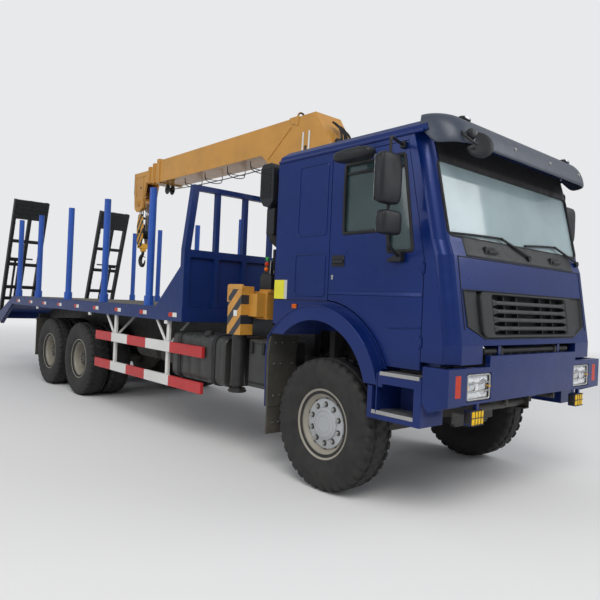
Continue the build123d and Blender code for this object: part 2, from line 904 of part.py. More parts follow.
def windscreen():
    """Flat glass pane in the front opening."""
    low, high = screen_low_z + seat_gap, screen_high_z - seat_gap
    set_back = 14
    outline = (
        (front_y(low) + set_back, low), (front_y(high) + set_back, high),
        (front_y(high) + set_back + screen_thickness, high),
        (front_y(low) + set_back + screen_thickness, low),
    )
    half = screen_half_width - seat_gap
    return plate_x(outline, -half, half)


def grille():
    """Dark insert in the front opening: a frame with slats."""
    half = grille_half_width - seat_gap
    low, high = grille_low_z + seat_gap, grille_high_z - seat_gap
    outline = (
        (-half, high), (half, high), (half - 15, low + grille_chamfer_z),
        (half - grille_chamfer_x, low), (-half + grille_chamfer_x, low),
        (-half + 15, low + grille_chamfer_z),
    )
    face = plate_x(
        (
            (front_y(low) + 4, low - 5), (front_y(high) + 4, high + 5),
            (front_y(high) + 44, high + 5), (front_y(low) + 44, low - 5),
        ),
        -half,
        half,
    )
    through = (bumper_front_y - 30, bumper_front_y + 270)
    piece = face & plate_y(outline, *through)
    rows = 5
    pitch = (high - low - 60) / rows
    for i in range(rows):
        z = low + 30 + i * pitch
        slot = box(
            (-half + grille_side_panel, half - grille_side_panel), through, (z + 18, z + pitch - 8)
        )
        piece -= slot
    return piece


def arch_disc(radius, x):
    return rod_x(radius, x, arch_y, arch_z)


def cab_side():
    """Left side of the cab: rear panel, header over the door and the wheel arch."""
    inner = cab_half_width - cab_wall
    head_low = door_top + door_gap
    outline = (
        (cab_rear_y, cab_rear_bottom), (cab_rear_y, gutter_z),
        (pillar_y(door_top) - door_gap + seat_gap, gutter_z),
        (pillar_y(door_top) - door_gap + seat_gap, head_low),
        (rear_post_y, head_low), (rear_post_y, 1500),
        (620, cab_rear_bottom),
    )
    panel = plate_x(outline, inner, cab_half_width)
    flange = arch_disc(arch_door_radius - arch_gap, (inner, cab_half_width))
    flange -= box((700, 1300), (-800, arch_y), (-200, upper_tread_z + 15))
    lip = arch_disc(arch_outer_radius, (inner, arch_half_width))
    liner = arch_disc(arch_inner_radius + 30, (800, inner))
    lip_and_liner = flange + lip + liner
    below_front = box((700, 1300), (-800, arch_y), (-200, arch_front_foot_z))
    below_rear = box((700, 1300), (arch_y - 1, 1000), (-200, arch_rear_foot_z))
    behind = box((700, 1300), (cab_rear_y, 1000), (0, 2000))
    lip_and_liner -= below_front + below_rear + behind
    return (panel + lip_and_liner) - arch_disc(arch_inner_radius, (700, 1300))


def cab_tub():
    """Cab floor with its foot wells, platforms over the wheels, and the rear wall."""
    inner = cab_half_width - cab_wall
    low, high = cab_floor_z, cab_floor_z + cab_floor_thickness
    front = front_y(high) + cab_wall + seat_gap
    well_side = 780
    piece = box((-well_side, well_side), (front, cab_rear_y), (low, high))
    platform_low = arch_z + arch_inner_radius + 30 + seat_gap
    edge = inner - 6
    platform = box((well_side - 40, edge), (-700, cab_rear_y), (platform_low, platform_low + 40))
    platform += box((well_side - 40, well_side), (-700, cab_rear_y), (low, platform_low + 40))
    well_front = front_y(low) + cab_wall + front_corner_radius
    well_low = 1160
    platform += box((well_side - 40, edge), (-700, -660), (well_low, platform_low + 40))
    platform += box((well_side, edge), (well_front, -660), (well_low, well_low + 50))
    platform += box((well_side - 40, well_side + 1), (well_front, -660), (well_low, high))
    piece += both_sides(platform)
    wall_low = cab_rear_bottom
    piece += box((-inner, inner), (cab_rear_y - cab_wall, cab_rear_y), (wall_low, gutter_z))
    ear_x = frame_half_width + 46
    ear = plate_x(
        (
            (cab_pivot_y - 34, cab_pivot_z - 34), (cab_pivot_y + 34, cab_pivot_z - 34),
            (cab_pivot_y + 130, low + 1), (cab_pivot_y + 130, high - 1), (front + 5, high - 1),
            (front + 5, cab_front_low_z - 6), (cab_pivot_y - 34, cab_front_low_z - 6),
        ),
        ear_x,
        ear_x + 40,
    )
    ear -= rod_x(
        cab_pivot_radius + running_gap, (ear_x - 1, ear_x + 41), cab_pivot_y, cab_pivot_z
    )
    return piece + both_sides(ear)


def cab_roof():
    """Shallow roof with slanted sides, hollow below."""
    def form(inset):
        half = cab_half_width - inset
        top = gutter_z + roof_rise - inset
        front = pillar_y(door_top) - 170 + inset
        rear = cab_rear_y - inset
        along = plate_x(
            (
                (rear, gutter_z), (rear - 20, gutter_z + 60), (rear - 90, top - 35),
                (-300, top), (front + 130, top - 10), (front + 20, gutter_z + 70),
                (front, gutter_z),
            ),
            -half,
            half,
        )
        across = plate_y(
            (
                (-half, gutter_z), (-half + 12, gutter_z + 50), (-half + 60, top - 45),
                (-half + 260, top), (half - 260, top), (half - 60, top - 45),
                (half - 12, gutter_z + 50), (half, gutter_z),
            ),
            -1200,
            1200,
        )
        return along & across
    return form(0) - form(45)


def visor():
    """Curved sun visor that stands off the roof's front edge, on three stays."""
    outer = (
        (-790, 3065), (-960, 3062), (-1075, 3010), (-1150, 2920), (-1185, 2800),
        (-1165, 2795), (-1125, 2912), (-1055, 2990), (-955, 3040), (-790, 3046),
    )
    half = cab_half_width - 15
    piece = plate_x(outer, -half, half)
    for x in (-half, 0, half - 24):
        stay = (
            (-800, 3050), (-955, 3048), (-1060, 2996), (-1130, 2915), (-1165, 2830),
            (visor_seat() - seat_gap, 2890), (visor_seat() - seat_gap, 2960),
            (visor_seat() + 30, 3050),
        )
        piece += plate_x(stay, x, x + 24)
    return piece - roof_block()


def visor_seat():
    return pillar_y(door_top) - 170


def roof_block():
    """Space of the roof, grown by the seat gap, that the visor leaves free."""
    front = visor_seat() - seat_gap
    top = gutter_z + roof_rise + seat_gap
    return plate_x(
        (
            (cab_rear_y, 2855), (cab_rear_y, top), (-300, top), (front + 130, top - 10),
            (front + 20, gutter_z + 70.5), (front, gutter_z), (front, 2855),
        ),
        -cab_half_width - 10,
        cab_half_width + 10,
    )


def seats():
    """Two seats, each a cushion on a plinth with a backrest."""
    low = cab_floor_z + cab_floor_thickness
    seat = box((300, 720), (-330, 60), (low, low + 300))
    seat += box((270, 730), (-400, 110), (low + 300, low + 430))
    seat += plate_x(
        ((20, low + 430), (110, low + 430), (210, low + 1050), (120, low + 1060)), 280, 720
    )
    seat += box((390, 610), (125, 205), (low + 1050, low + 1210))
    return both_sides(seat)


def dashboard():
    """Dashboard on its plinth, with the steering column and wheel on the left."""
    floor_top = cab_floor_z + cab_floor_thickness
    half = dashboard_half_width
    piece = box((-half, half), (-1010, -720), (1780, 2060))
    piece += box((-260, 260), (-1000, -700), (floor_top, 1781))
    centre = (520, -560, 2080)
    piece += strut((520, -760, 1880), centre, 35)
    wheel = Plane(origin=centre, z_dir=(0, 200, 200)) * Torus(215, 17)
    for angle in (0, 120, 240):
        spoke = Rot(0, 0, angle) * Pos(105, 0, 0) * Box(210, 30, 14)
        wheel += Plane(origin=centre, z_dir=(0, 200, 200)) * spoke
    return piece + wheel


def intake():
    """Air intake box behind the cab, with the duct below it."""
    outer = cab_half_width - 4
    piece = box((-outer, -outer + 205), (cab_rear_y + 80, cab_rear_y + 310), (2490, 2940))
    piece += box((-outer + 35, -outer + 145), (cab_rear_y + 90, cab_rear_y + 230), (2230, 2490))
    for z in (2560, 2820):
        foot = (cab_rear_y, cab_rear_y + 80)
        piece += box((-outer + 65, -outer + 145), foot, (z, z + 50))
    return piece


def door():
    """Left door with its window cut."""
    def along_arc(angle):
        reach = math.radians(angle)
        return (
            arch_y + arch_door_radius * math.cos(reach),
            arch_z + arch_door_radius * math.sin(reach),
        )
    start = 180 - math.degrees(math.asin((door_bottom - arch_z) / arch_door_radius))
    end = math.degrees(math.acos((door_rear_y - arch_y) / arch_door_radius))
    steps = 8
    arc = [along_arc(start + (end - start) * i / steps) for i in range(steps + 1)]
    outline = [(door_front_y, door_bottom)] + arc + [
        (door_rear_y, door_top), (door_top_front_y, door_top), (door_front_y, belt_z),
    ]
    inner = cab_half_width - cab_wall
    piece = plate_x(outline, inner, cab_half_width)
    window = (
        (window_rear_y, window_low_z), (window_rear_y, window_high_z),
        (window_top_front_y, window_high_z), (window_front_y, window_drop_z),
        (window_step_y, window_drop_z), (window_step_y, window_low_z),
    )
    piece -= plate_x(window, inner - 1, cab_half_width + 1)
    for z in door_hinge_zs:
        x, y, top = cab_half_width, door_hinge_y, z + door_knuckle
        piece -= rod_z(door_pin_radius + 8, x, y, (z - 20, top + 20))
        piece += rod_z(2 * door_pin_radius, x, y, (z, top)) + box(
            (x - 15, x), (y + 4, y + 20), (z, top)
        )
        piece -= rod_z(door_pin_radius + running_gap, x, y, (z - 20, top + 20))
    return piece


def mirrors():
    """Left pair of mirrors on their arm, which stands on the door."""
    face = cab_half_width
    arm_x = face + 250
    arm_y = -800
    piece = rod_z(13, arm_x, arm_y, (2120, 2830))
    piece += strut((face + 20, arm_y + 75, 2820), (arm_x, arm_y, 2820), 13)
    piece += box((face, face + 40), (arm_y + 48, arm_y + 100), (2792, 2845))
    piece += strut((arm_x, arm_y, 2130), (face + 30, arm_y + 60, 1960), 13)
    piece += box((face, face + 70), (arm_y + 10, arm_y + 140), (1920, 1985))
    piece += box((arm_x - 20, arm_x + 160), (arm_y - 70, arm_y + 30), (2320, 2690))
    piece += box((arm_x - 20, arm_x + 160), (arm_y - 70, arm_y + 30), (2150, 2290))
    return piece


# Crane

def crane_base():
    """Outrigger box, sub-frame feet, pedestal and the valve block."""
    low = frame_half_width - rail_width
    foot = box((low, frame_half_width), (950, 2150), (rail_top, box_low_z))
    piece = both_sides(foot)
    piece += box((-frame_half_width, frame_half_width), (950, 2150), (box_low_z - 60, box_low_z))
    half = box_half_width
    piece += box((-half, half), (box_front_y, box_rear_y), (box_low_z, box_high_z))
    for y in beam_ys():
        piece -= box(
            (-half - 1, half + 1),
            (y - beam_width / 2 - beam_gap, y + beam_width / 2 + beam_gap),
            (beam_mid_z() - beam_height / 2 - seat_gap, beam_mid_z() + beam_height / 2 + beam_gap),
        )
    piece += box((-350, 350), (box_rear_y, 1980), (box_low_z, box_high_z))
    piece += rod_z(bearing_radius, 0, slew_y, (box_high_z, pedestal_top))
    piece += box((-1000, -700), (box_front_y, box_front_y + 180), (box_high_z, 1830))
    return piece


def beam_mid_z():
    return (box_low_z + box_high_z) / 2


def beam_ys():
    """Y of the right and the left outrigger beam."""
    middle = (box_front_y + box_rear_y) / 2
    return (middle - beam_half_spread, middle + beam_half_spread)


def outrigger_beam(side):
    """Sliding beam with its jack's housing; side -1 is the right."""
    y = beam_ys()[0] if side < 0 else beam_ys()[1]
    z = beam_mid_z()
    wall = 12
    tall = (z - beam_height / 2, z + beam_height / 2)
    ends = sorted((side * (jack_x - 60), -side * (box_half_width - 60)))
    piece = box(ends, (y - beam_width / 2, y + beam_width / 2), tall)
    head_y = jack_y
    half = jack_housing / 2
    housing = box(
        (side * jack_x - half + 10, side * jack_x + half - 5), (head_y - 110, head_y + 120),
        (jack_housing_low, jack_housing_high),
    )
    join = box(
        sorted((side * (box_half_width + 8), side * (jack_x - 20))),
        (min(y - beam_width / 2, head_y - 60), head_y + 60),
        (tall[0] - 20, tall[1] + 20),
    )
    tube_z = (jack_tube_low, jack_housing_low + 1)
    cylinder = rod_z(jack_tube_radius, side * jack_x, head_y, tube_z)
    bore_z = (jack_tube_low - 1, jack_housing_high - wall)
    bore = rod_z(leg_radius + running_gap, side * jack_x, head_y, bore_z)
    return (piece + housing + join + cylinder) - bore


def jack_leg(side):
    """Round leg with its foot plate, drawn up in the housing."""
    piece = rod_z(leg_radius, side * jack_x, jack_y, (leg_rest_z + 20, jack_housing_high - 25))
    return piece + rod_z(foot_radius, side * jack_x, jack_y, (leg_rest_z, leg_rest_z + foot_thickness))


def crane_column():
    """Turntable and the mast that carries the boom's pivot and the lift cylinder's foot."""
    base = pedestal_top + seat_gap
    top = base + turntable_height
    piece = rod_z(bearing_radius, 0, slew_y, (base, top))
    mast = (
        (slew_y - 200, top), (slew_y + 200, top), (slew_y + 170, 2300),
        (boom_pivot_y + 115, boom_pivot_z), (boom_pivot_y + 60, boom_pivot_z + 95),
        (boom_pivot_y - 60, boom_pivot_z + 95), (boom_pivot_y - 115, boom_pivot_z),
        (slew_y - 190, 2600),
    )
    piece += plate_x(mast, -mast_half_width, mast_half_width)
    ear = plate_x(
        (
            (slew_y + 100, luff_foot_z - 160), (luff_foot_y + 60, luff_foot_z - 60),
            (luff_foot_y + 60, luff_foot_z + 60), (slew_y + 100, luff_foot_z + 100),
        ),
        barrel_radius + 10,
        mast_half_width + 10,
    )
    piece += both_sides(ear)
    piece += rod_x(
        luff_pin_radius, (-mast_half_width, mast_half_width), luff_foot_y, luff_foot_z
    )
    return piece - rod_x(
        boom_pivot_radius + running_gap, (-mast_half_width - 1, mast_half_width + 1),
        boom_pivot_y, boom_pivot_z,
    )


def luff_direction():
    """Unit vector from the lift cylinder's foot to the rod's eye."""
    way = Vector(0, luff_eye_y - luff_foot_y, luff_eye_z - luff_foot_z)
    return way.normalized()


def luff_point(distance):
    """Point on the lift cylinder's axis at a distance from its foot."""
    return Vector(0, luff_foot_y, luff_foot_z) + luff_direction() * distance


def luff_barrel():
    """Lift cylinder's barrel with its foot eye and a gland at the top."""
    piece = strut(luff_point(40), luff_point(barrel_length), barrel_radius)
    piece += rod_x(62, (-barrel_radius, barrel_radius), luff_foot_y, luff_foot_z)
    bore = luff_rod_radius + running_gap
    piece -= strut(luff_point(120), luff_point(barrel_length + 1), bore)
    return piece - rod_x(
        luff_pin_radius + running_gap, (-barrel_radius - 1, barrel_radius + 1),
        luff_foot_y, luff_foot_z,
    )


def luff_rod():
    """Lift cylinder's rod, drawn in, with its eye between the boom's cheeks."""
    eye = (Vector(0, luff_eye_y, luff_eye_z) - Vector(0, luff_foot_y, luff_foot_z)).length
    piece = strut(luff_point(126), luff_point(eye - 30), luff_rod_radius)
    piece += rod_x(60, (-55, 55), luff_eye_y, luff_eye_z)
    return piece - rod_x(luff_pin_radius, (-56, 56), luff_eye_y, luff_eye_z)


def tube(half, low, high, y_low, y_high, wall):
    """Hollow box section along Y."""
    outer = box((-half, half), (y_low, y_high), (low, high))
    return outer - box(
        (-half + wall, half - wall), (y_low - 1, y_high + 1), (low + wall, high - wall)
    )


def boom_base():
    """Main boom section, its deep root cheeks and the pivot pin."""
    half, low, high = boom_half_width, boom_low_z, boom_high_z
    cheek_end_y = section_rear_y[0]
    piece = tube(half, low, high, boom_root_y + 200, boom_end_y, boom_wall)
    piece += tube(half + 14, low - 14, high + 14, boom_end_y - 90, boom_end_y, boom_wall + 12)
    cheek_outline = (
        (boom_root_y, high), (boom_root_y - 240, low - 30), (boom_root_y - 230, low - 210),
        (boom_pivot_y - 90, boom_pivot_z - 120), (boom_pivot_y + 130, boom_pivot_z - 140),
        (luff_eye_y - 280, luff_eye_z - 120), (luff_eye_y - 110, luff_eye_z - 130),
        (luff_eye_y + 90, luff_eye_z - 70), (luff_eye_y + 120, luff_eye_z + 60),
        (luff_eye_y + 190, low - 80), (luff_eye_y + 290, low), (cheek_end_y, low),
        (cheek_end_y, high),
    )
    inner = mast_half_width + cheek_gap
    cheek = plate_x(cheek_outline, inner, half)
    cheek -= box(
        (0, half - boom_wall), (luff_eye_y + 290, cheek_end_y + 1),
        (low + boom_wall, high - boom_wall),
    )
    piece += both_sides(cheek)
    piece += box((-half, half), (boom_root_y, 2200), (high - boom_wall, high))
    front = (
        (boom_root_y, high), (boom_root_y + 20, high), (boom_root_y - 215, low - 10),
        (boom_root_y - 215, low - 30), (boom_root_y - 240, low - 30),
    )
    piece += plate_x(front, -half, half)
    piece += rod_x(boom_pivot_radius, (-half, half), boom_pivot_y, boom_pivot_z)
    for side in (-1, 1):
        ends = sorted((side * 58, side * (inner + 5)))
        piece += rod_x(58, ends, luff_eye_y, luff_eye_z)
    foot = (high - boom_wall / 2, high + lifting_foot_height)
    piece += box((-40, 40), (lifting_eye_y - 14, lifting_eye_y + 14), foot)
    eye_z = high + lifting_foot_height + lifting_eye_radius - lifting_eye_bar
    eye = Torus(lifting_eye_radius, lifting_eye_bar)
    return piece + Pos(0, lifting_eye_y, eye_z) * Rot(90, 0, 0) * eye


def boom_section(number):
    """Nested section number 1, 2 or 3, counted inwards, with its pads and collar."""
    inset = section_step * number
    half = boom_half_width - inset
    low, high = boom_low_z + inset, boom_high_z - inset
    rear = section_rear_y[number - 1]
    end = boom_end_y + section_nose * number
    wall = boom_wall - 2
    piece = tube(half, low, high, rear, end, wall)
    outer_wall = boom_wall if number == 1 else wall
    reach = section_step - outer_wall - seat_gap
    for y_low in (rear, rear + 300):
        piece += tube(half + reach, low - reach, high + reach, y_low, y_low + 80, reach + wall)
    if number < 3:
        piece += tube(half + 10, low - 10, high + 10, end - 80, end, wall + 10)
    return piece


def boom_tip():
    """Innermost section with the head that carries the sheave."""
    piece = boom_section(3)
    end = boom_end_y + section_nose * 3
    half = boom_half_width - section_step * 3
    outline = (
        (end - 70, boom_high_z - 75), (sheave_y + 150, boom_high_z - 70),
        (sheave_y + 170, sheave_z + 160), (sheave_y + 140, sheave_z - 90),
        (sheave_y + 60, sheave_z - 150), (sheave_y - 60, sheave_z - 150),
        (sheave_y - 140, sheave_z - 90), (end - 40, boom_low_z - 10), (end - 70, boom_low_z + 75),
    )
    side = plate_x(outline, head_half_width, half)
    piece += both_sides(side)
    piece += box((-half, half), (sheave_y + 148, sheave_y + 168), (sheave_z + 170, boom_high_z - 70))
    piece += box((-half, half), (end - 70, sheave_y + 150), (boom_high_z - 95, boom_high_z - 75))
    piece += rod_x(30, (-half, half), sheave_y, sheave_z)
    wheel = rod_x(sheave_radius, (-60, 60), sheave_y, sheave_z)
    groove_outline = ((-30, groove_radius), (30, groove_radius), (42, 140), (-42, 140))
    return piece + (wheel - ring(groove_outline, 0, sheave_y, sheave_z))


def hook_block():
    """Hanging block on its two falls of rope, and the hook below."""
    y = sheave_y
    rope_reach = groove_radius + rope_radius + seat_gap
    cheek = plate_x(
        (
            (y - 110, hook_top_z - 190), (y - 60, hook_top_z), (y + 60, hook_top_z),
            (y + 110, hook_top_z - 190), (y + 100, 2540), (y + 40, 2400), (y - 40, 2400),
            (y - 100, 2540),
        ),
        hook_half_width - 20,
        hook_half_width,
    )
    piece = both_sides(cheek)
    piece += rod_x(30, (-hook_half_width, hook_half_width), y, 2690)
    piece += rod_x(rope_reach, (-55, 55), y, 2690)
    for rope_y in (y - rope_reach, y + rope_reach):
        piece += rod_z(rope_radius, 0, rope_y, (2690, sheave_z))
    piece += box((-hook_half_width, hook_half_width), (y - 50, y + 50), (2400, 2470))
    piece += rod_z(32, 0, y, (2290, 2401))
    curve = Plane(origin=(0, y, 2190), z_dir=(1, 0, 0)) * Torus(88, 32)
    mouth = box((-60, 60), (y - 140, y - 20), (2200, 2330))
    piece += curve - mouth
    link = box((-30, 30), (y - 30, y + 34), (2255, 2300))
    return piece + link


for side, name in ((-1, "right"), (1, "left")):
    write("front_tyre_" + name, tyre(side * front_wheel_x, 0))
    write("front_wheel_" + name, front_wheel(side))
    write("knuckle_" + name, knuckle(side))
    write("outrigger_beam_" + name, outrigger_beam(side))
    write("jack_leg_" + name, jack_leg(side))
    for number, y in enumerate(rear_axle_ys, 1):
        tyres = tyre(side * rear_outer_x, y) + tyre(side * rear_inner_x, y)
        write(f"rear_tyres_{number}_{name}", tyres)
        write(f"rear_wheel_{number}_{name}", rear_wheel(side, y))

for name, make in (("cab_side", cab_side), ("door", door), ("mirrors", mirrors), ("ramp", ramp)):
    left = make()
    write(name + "_left", left)
    write(name + "_right", far_side(left))

write("tie_rod", tie_rod())
write("front_axle", front_axle())
write("rear_bogie", rear_bogie())
write("frame", frame())
write("engine", engine())
write("bumper", bumper())
write("headlamps", headlamps())
write("cab_steps", cab_steps())
write("mudguards", mudguards())
write("fuel_tank", fuel_tank())
write("side_boxes", side_boxes())
write("side_guards", side_guards())
write("deck_frame", deck_frame())
write("deck", deck())
write("headboard", headboard())
write("stake_posts", stake_posts())
write("cab_front", cab_front())
write("cab_tub", cab_tub())
write("cab_roof", cab_roof())
write("windscreen", windscreen())
write("grille", grille())
write("visor", visor())
write("seats", seats())
write("dashboard", dashboard())
write("intake", intake())
write("crane_base", crane_base())
write("crane_column", crane_column())
write("luff_barrel", luff_barrel())
write("luff_rod", luff_rod())
write("boom_base", boom_base())
write("boom_section_2", boom_section(1))
write("boom_section_3", boom_section(2))
write("boom_tip", boom_tip())
write("hook_block", hook_block())
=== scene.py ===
from math import copysign, cos, pi, radians, sin

import bmesh
import bpy
from mathutils import Matrix, Vector


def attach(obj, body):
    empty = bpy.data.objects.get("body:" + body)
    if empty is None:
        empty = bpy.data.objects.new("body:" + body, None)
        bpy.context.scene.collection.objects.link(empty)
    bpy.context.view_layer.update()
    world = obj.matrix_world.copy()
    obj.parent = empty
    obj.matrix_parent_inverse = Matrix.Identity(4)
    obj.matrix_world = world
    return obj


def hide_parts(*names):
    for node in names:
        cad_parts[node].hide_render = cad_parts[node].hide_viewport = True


# A blue three-axle truck with a yellow slewing crane behind its cab. The pieces' lengths are in
# millimetres, with Y from the front axle as in the part's source; at() gives Blender's metres.
# The floor, the lamps and the heights in the materials are in metres.

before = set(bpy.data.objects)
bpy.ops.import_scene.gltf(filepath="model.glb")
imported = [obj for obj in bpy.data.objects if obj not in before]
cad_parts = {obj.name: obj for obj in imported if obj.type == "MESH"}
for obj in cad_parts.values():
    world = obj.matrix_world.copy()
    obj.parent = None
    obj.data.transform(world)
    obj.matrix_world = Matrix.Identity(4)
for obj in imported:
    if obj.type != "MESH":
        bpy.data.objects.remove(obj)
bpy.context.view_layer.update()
SHIFT_Y = 4338.02
RIGHT, LEFT = -1, 1
SIDES = (RIGHT, LEFT)
SIDE_NAME = {RIGHT: "right", LEFT: "left"}
WHEEL_Z = 562.5
FRONT_WHEEL_X, REAR_OUTER_X, REAR_INNER_X = 1075, 1053, 713
CAB_SIDE = 1149
COLUMN_Y = 1550
JACK_X, JACK_Y = 1165, 1290
BOOM_PIVOT = (1280, 3250)
TIP_Y, TIP_Z = 5870, 3170
BLOCK_Z = 2690


def at(x, y, z):
    return Vector((x, y - SHIFT_Y, z)) / 1000


def linked(name, data):
    """An object of that data, in the scene."""
    made = bpy.data.objects.new(name, data)
    bpy.context.scene.collection.objects.link(made)
    return made


# Camera

camera = linked("camera", bpy.data.cameras.new("camera"))
bpy.context.scene.camera = camera
yaw, pitch, roll = 0.7243, 0.003, -0.0436
forward = Vector((sin(yaw) * cos(pitch), cos(yaw) * cos(pitch), sin(pitch)))
level = forward.cross(Vector((0, 0, 1))).normalized()
turn = Matrix.Rotation(roll, 3, forward)
right = turn @ level
up = right.cross(forward)
turned = Matrix((right, up, -forward)).transposed().to_4x4()
camera.matrix_world = Matrix.Translation(at(-4660, -3567, 1592)) @ turned
camera.data.sensor_width = 36
camera.data.lens = 35.08
camera.data.clip_end = 200


# Materials

def node_tree(name):
    material = bpy.data.materials.new(name)
    material.use_nodes = True
    tree = material.node_tree
    return material, tree, tree.nodes["Principled BSDF"]


def add(tree, kind, **values):
    """A node of that kind; inputs and attributes by name."""
    node = tree.nodes.new(kind)
    for key, value in values.items():
        if key in node.inputs:
            node.inputs[key].default_value = value
        else:
            setattr(node, key, value)
    return node


def noise(tree, scale, detail=4, rough=0.6, stretch=(1, 1, 1)):
    """Noise over the piece's own coordinates, in cycles per metre."""
    place = add(tree, "ShaderNodeTexCoord")
    mapping = add(tree, "ShaderNodeMapping")
    mapping.inputs["Scale"].default_value = stretch
    tree.links.new(place.outputs["Object"], mapping.inputs["Vector"])
    texture = add(tree, "ShaderNodeTexNoise", Scale=scale, Detail=detail, Roughness=rough)
    tree.links.new(mapping.outputs[0], texture.inputs["Vector"])
    return texture.outputs["Fac"]


def ramp(tree, value, low, high, start=0.0, end=1.0):
    node = add(tree, "ShaderNodeMapRange")
    for key, number in (("From Min", low), ("From Max", high), ("To Min", start), ("To Max", end)):
        node.inputs[key].default_value = number
    tree.links.new(value, node.inputs["Value"])
    return node.outputs["Result"]


def mixed(tree, factor, first, second):
    """Colour mix; first and second are colours or sockets."""
    node = add(tree, "ShaderNodeMix", data_type="RGBA")
    tree.links.new(factor, node.inputs["Factor"])
    for socket, value in ((node.inputs[6], first), (node.inputs[7], second)):
        if isinstance(value, bpy.types.NodeSocket):
            tree.links.new(value, socket)
        else:
            socket.default_value = (*value, 1)
    return node.outputs[2]


def product(tree, first, second):
    node = add(tree, "ShaderNodeMath", operation="MULTIPLY")
    tree.links.new(first, node.inputs[0])
    if isinstance(second, (int, float)):
        node.inputs[1].default_value = second
    else:
        tree.links.new(second, node.inputs[1])
    return node.outputs[0]


def height(tree, low, high):
    """1 below low and 0 above high, in metres above the ground."""
    place = add(tree, "ShaderNodeNewGeometry")
    split = add(tree, "ShaderNodeSeparateXYZ")
    tree.links.new(place.outputs["Position"], split.inputs[0])
    return ramp(tree, split.outputs["Z"], low, high, 1, 0)


DUST_BROWN = (0.23, 0.2, 0.16)


def darker(colour, share):
    return tuple(part * share for part in colour)


def surface(
    name, colour, rough=0.4, metal=0.0, coat=0.0, patch=0.85, patch_scale=2.5, grain=0.0,
    grain_scale=300, dust=0.15, scuff=0.0, scuff_colour=(0.3, 0.3, 0.3), rounding=0.004,
    stretch=(1, 1, 1), gloss=0.4,
):
    """Painted, moulded or bare surface with patchy colour, dust low down and a fine grain."""
    material, tree, shader = node_tree(name)
    colour = mixed(tree, ramp(tree, noise(tree, patch_scale), 0.35, 0.7), colour, darker(colour, patch))
    if scuff:
        marks = ramp(tree, noise(tree, 22, 8, 0.75, stretch), 0.62, 0.74, 0, scuff)
        colour = mixed(tree, marks, colour, scuff_colour)
    if dust:
        film = product(tree, height(tree, 0.15, 1.5), ramp(tree, noise(tree, 7, 6), 0.3, 0.75, 0.3, 1))
        colour = mixed(tree, product(tree, film, dust), colour, DUST_BROWN)
    tree.links.new(colour, shader.inputs["Base Color"])
    tree.links.new(ramp(tree, noise(tree, 11, 5), 0.3, 0.7, rough * 0.85, min(1, rough * 1.25)),
        shader.inputs["Roughness"])
    shader.inputs["Metallic"].default_value = metal
    shader.inputs["Coat Weight"].default_value = coat
    shader.inputs["Coat Roughness"].default_value = 0.08
    shader.inputs["Specular IOR Level"].default_value = gloss
    normal = None
    if rounding:
        normal = add(tree, "ShaderNodeBevel", samples=4, Radius=rounding).outputs["Normal"]
    if grain:
        bump = add(tree, "ShaderNodeBump", Strength=grain, Distance=0.002)
        tree.links.new(noise(tree, grain_scale, 3, 0.6, stretch), bump.inputs["Height"])
        if normal:
            tree.links.new(normal, bump.inputs["Normal"])
        normal = bump.outputs["Normal"]
    if normal:
        tree.links.new(normal, shader.inputs["Normal"])
    return material


CAB_BLUE = (0.002, 0.019, 0.135)
CRANE_YELLOW = (0.56, 0.27, 0.045)
cab_paint = surface("cab_paint", CAB_BLUE, 0.32, metal=0.3, coat=0.15, patch=0.85, grain=0.02, grain_scale=90,
    dust=0.08, gloss=0.3)
deck_paint = surface("deck_paint", (0.005, 0.024, 0.13), 0.42, coat=0.1, grain=0.05, grain_scale=60,
    dust=0.12, gloss=0.25)
post_paint = surface("post_paint", (0.02, 0.09, 0.42), 0.38, coat=0.2, patch=0.8, grain=0.05, grain_scale=60,
    gloss=0.3)
plastic = surface("plastic", (0.013, 0.014, 0.017), 0.4, gloss=0.3, grain=0.12, grain_scale=900, dust=0.03,
    rounding=0.003)
visor_plastic = surface("visor_plastic", (0.045, 0.056, 0.082), 0.36, grain=0.06, grain_scale=900, dust=0)
grille_plastic = surface("grille_plastic", (0.025, 0.027, 0.028), 0.42, gloss=0.3, grain=0.1, grain_scale=900,
    dust=0.03)
rubber = surface("rubber", (0.012, 0.012, 0.014), 0.65, grain=0.15, grain_scale=500, dust=0.05)
frame_paint = surface("frame_paint", (0.022, 0.023, 0.025), 0.55, grain=0.15, grain_scale=120, dust=0.45)
guard_grey = surface("guard_grey", (0.035, 0.035, 0.03), 0.7, grain=0.2, grain_scale=150, dust=0.35)
tank_paint = surface("tank_paint", (0.032, 0.034, 0.034), 0.4, grain=0.08, grain_scale=80, dust=0.15)
ramp_paint = surface("ramp_paint", (0.014, 0.016, 0.018), 0.5, grain=0.2, grain_scale=140, dust=0.1,
    scuff=0.25, scuff_colour=(0.12, 0.12, 0.12))
crane_paint = surface("crane_paint", CRANE_YELLOW, 0.36, coat=0.3, patch=0.82, grain=0.04, grain_scale=70,
    dust=0.1)
# A darker copy of the crane yellow: painted shade, used on the weld beads along the boom root's arched edge.
boom_painted_shade = surface("boom_painted_shade", (0.5, 0.23, 0.04), 0.45, patch=0.7, grain=0.05, grain_scale=70, dust=0)
bright_yellow = surface("bright_yellow", (0.75, 0.38, 0.02), 0.35, coat=0.3, grain=0.04, grain_scale=70)
rim_paint = surface("rim_paint", (0.33, 0.31, 0.26), 0.45, grain=0.06, grain_scale=90, dust=0.35)
hub_paint = surface("hub_paint", (0.42, 0.44, 0.46), 0.38, grain=0.06, grain_scale=90, dust=0.25)
bare_steel = surface("bare_steel", (0.45, 0.45, 0.44), 0.35, metal=0.9, grain=0.08, grain_scale=200, dust=0.2)
dark_steel = surface("dark_steel", (0.028, 0.028, 0.03), 0.42, metal=0.4, grain=0.1, grain_scale=200,
    dust=0.2)
chrome = surface("chrome", (0.75, 0.75, 0.76), 0.12, metal=1.0, patch=0.95, dust=0.05, rounding=0)
white_paint = surface("white_paint", (0.72, 0.72, 0.7), 0.4, patch=0.9, grain=0.05, grain_scale=80, dust=0.2)
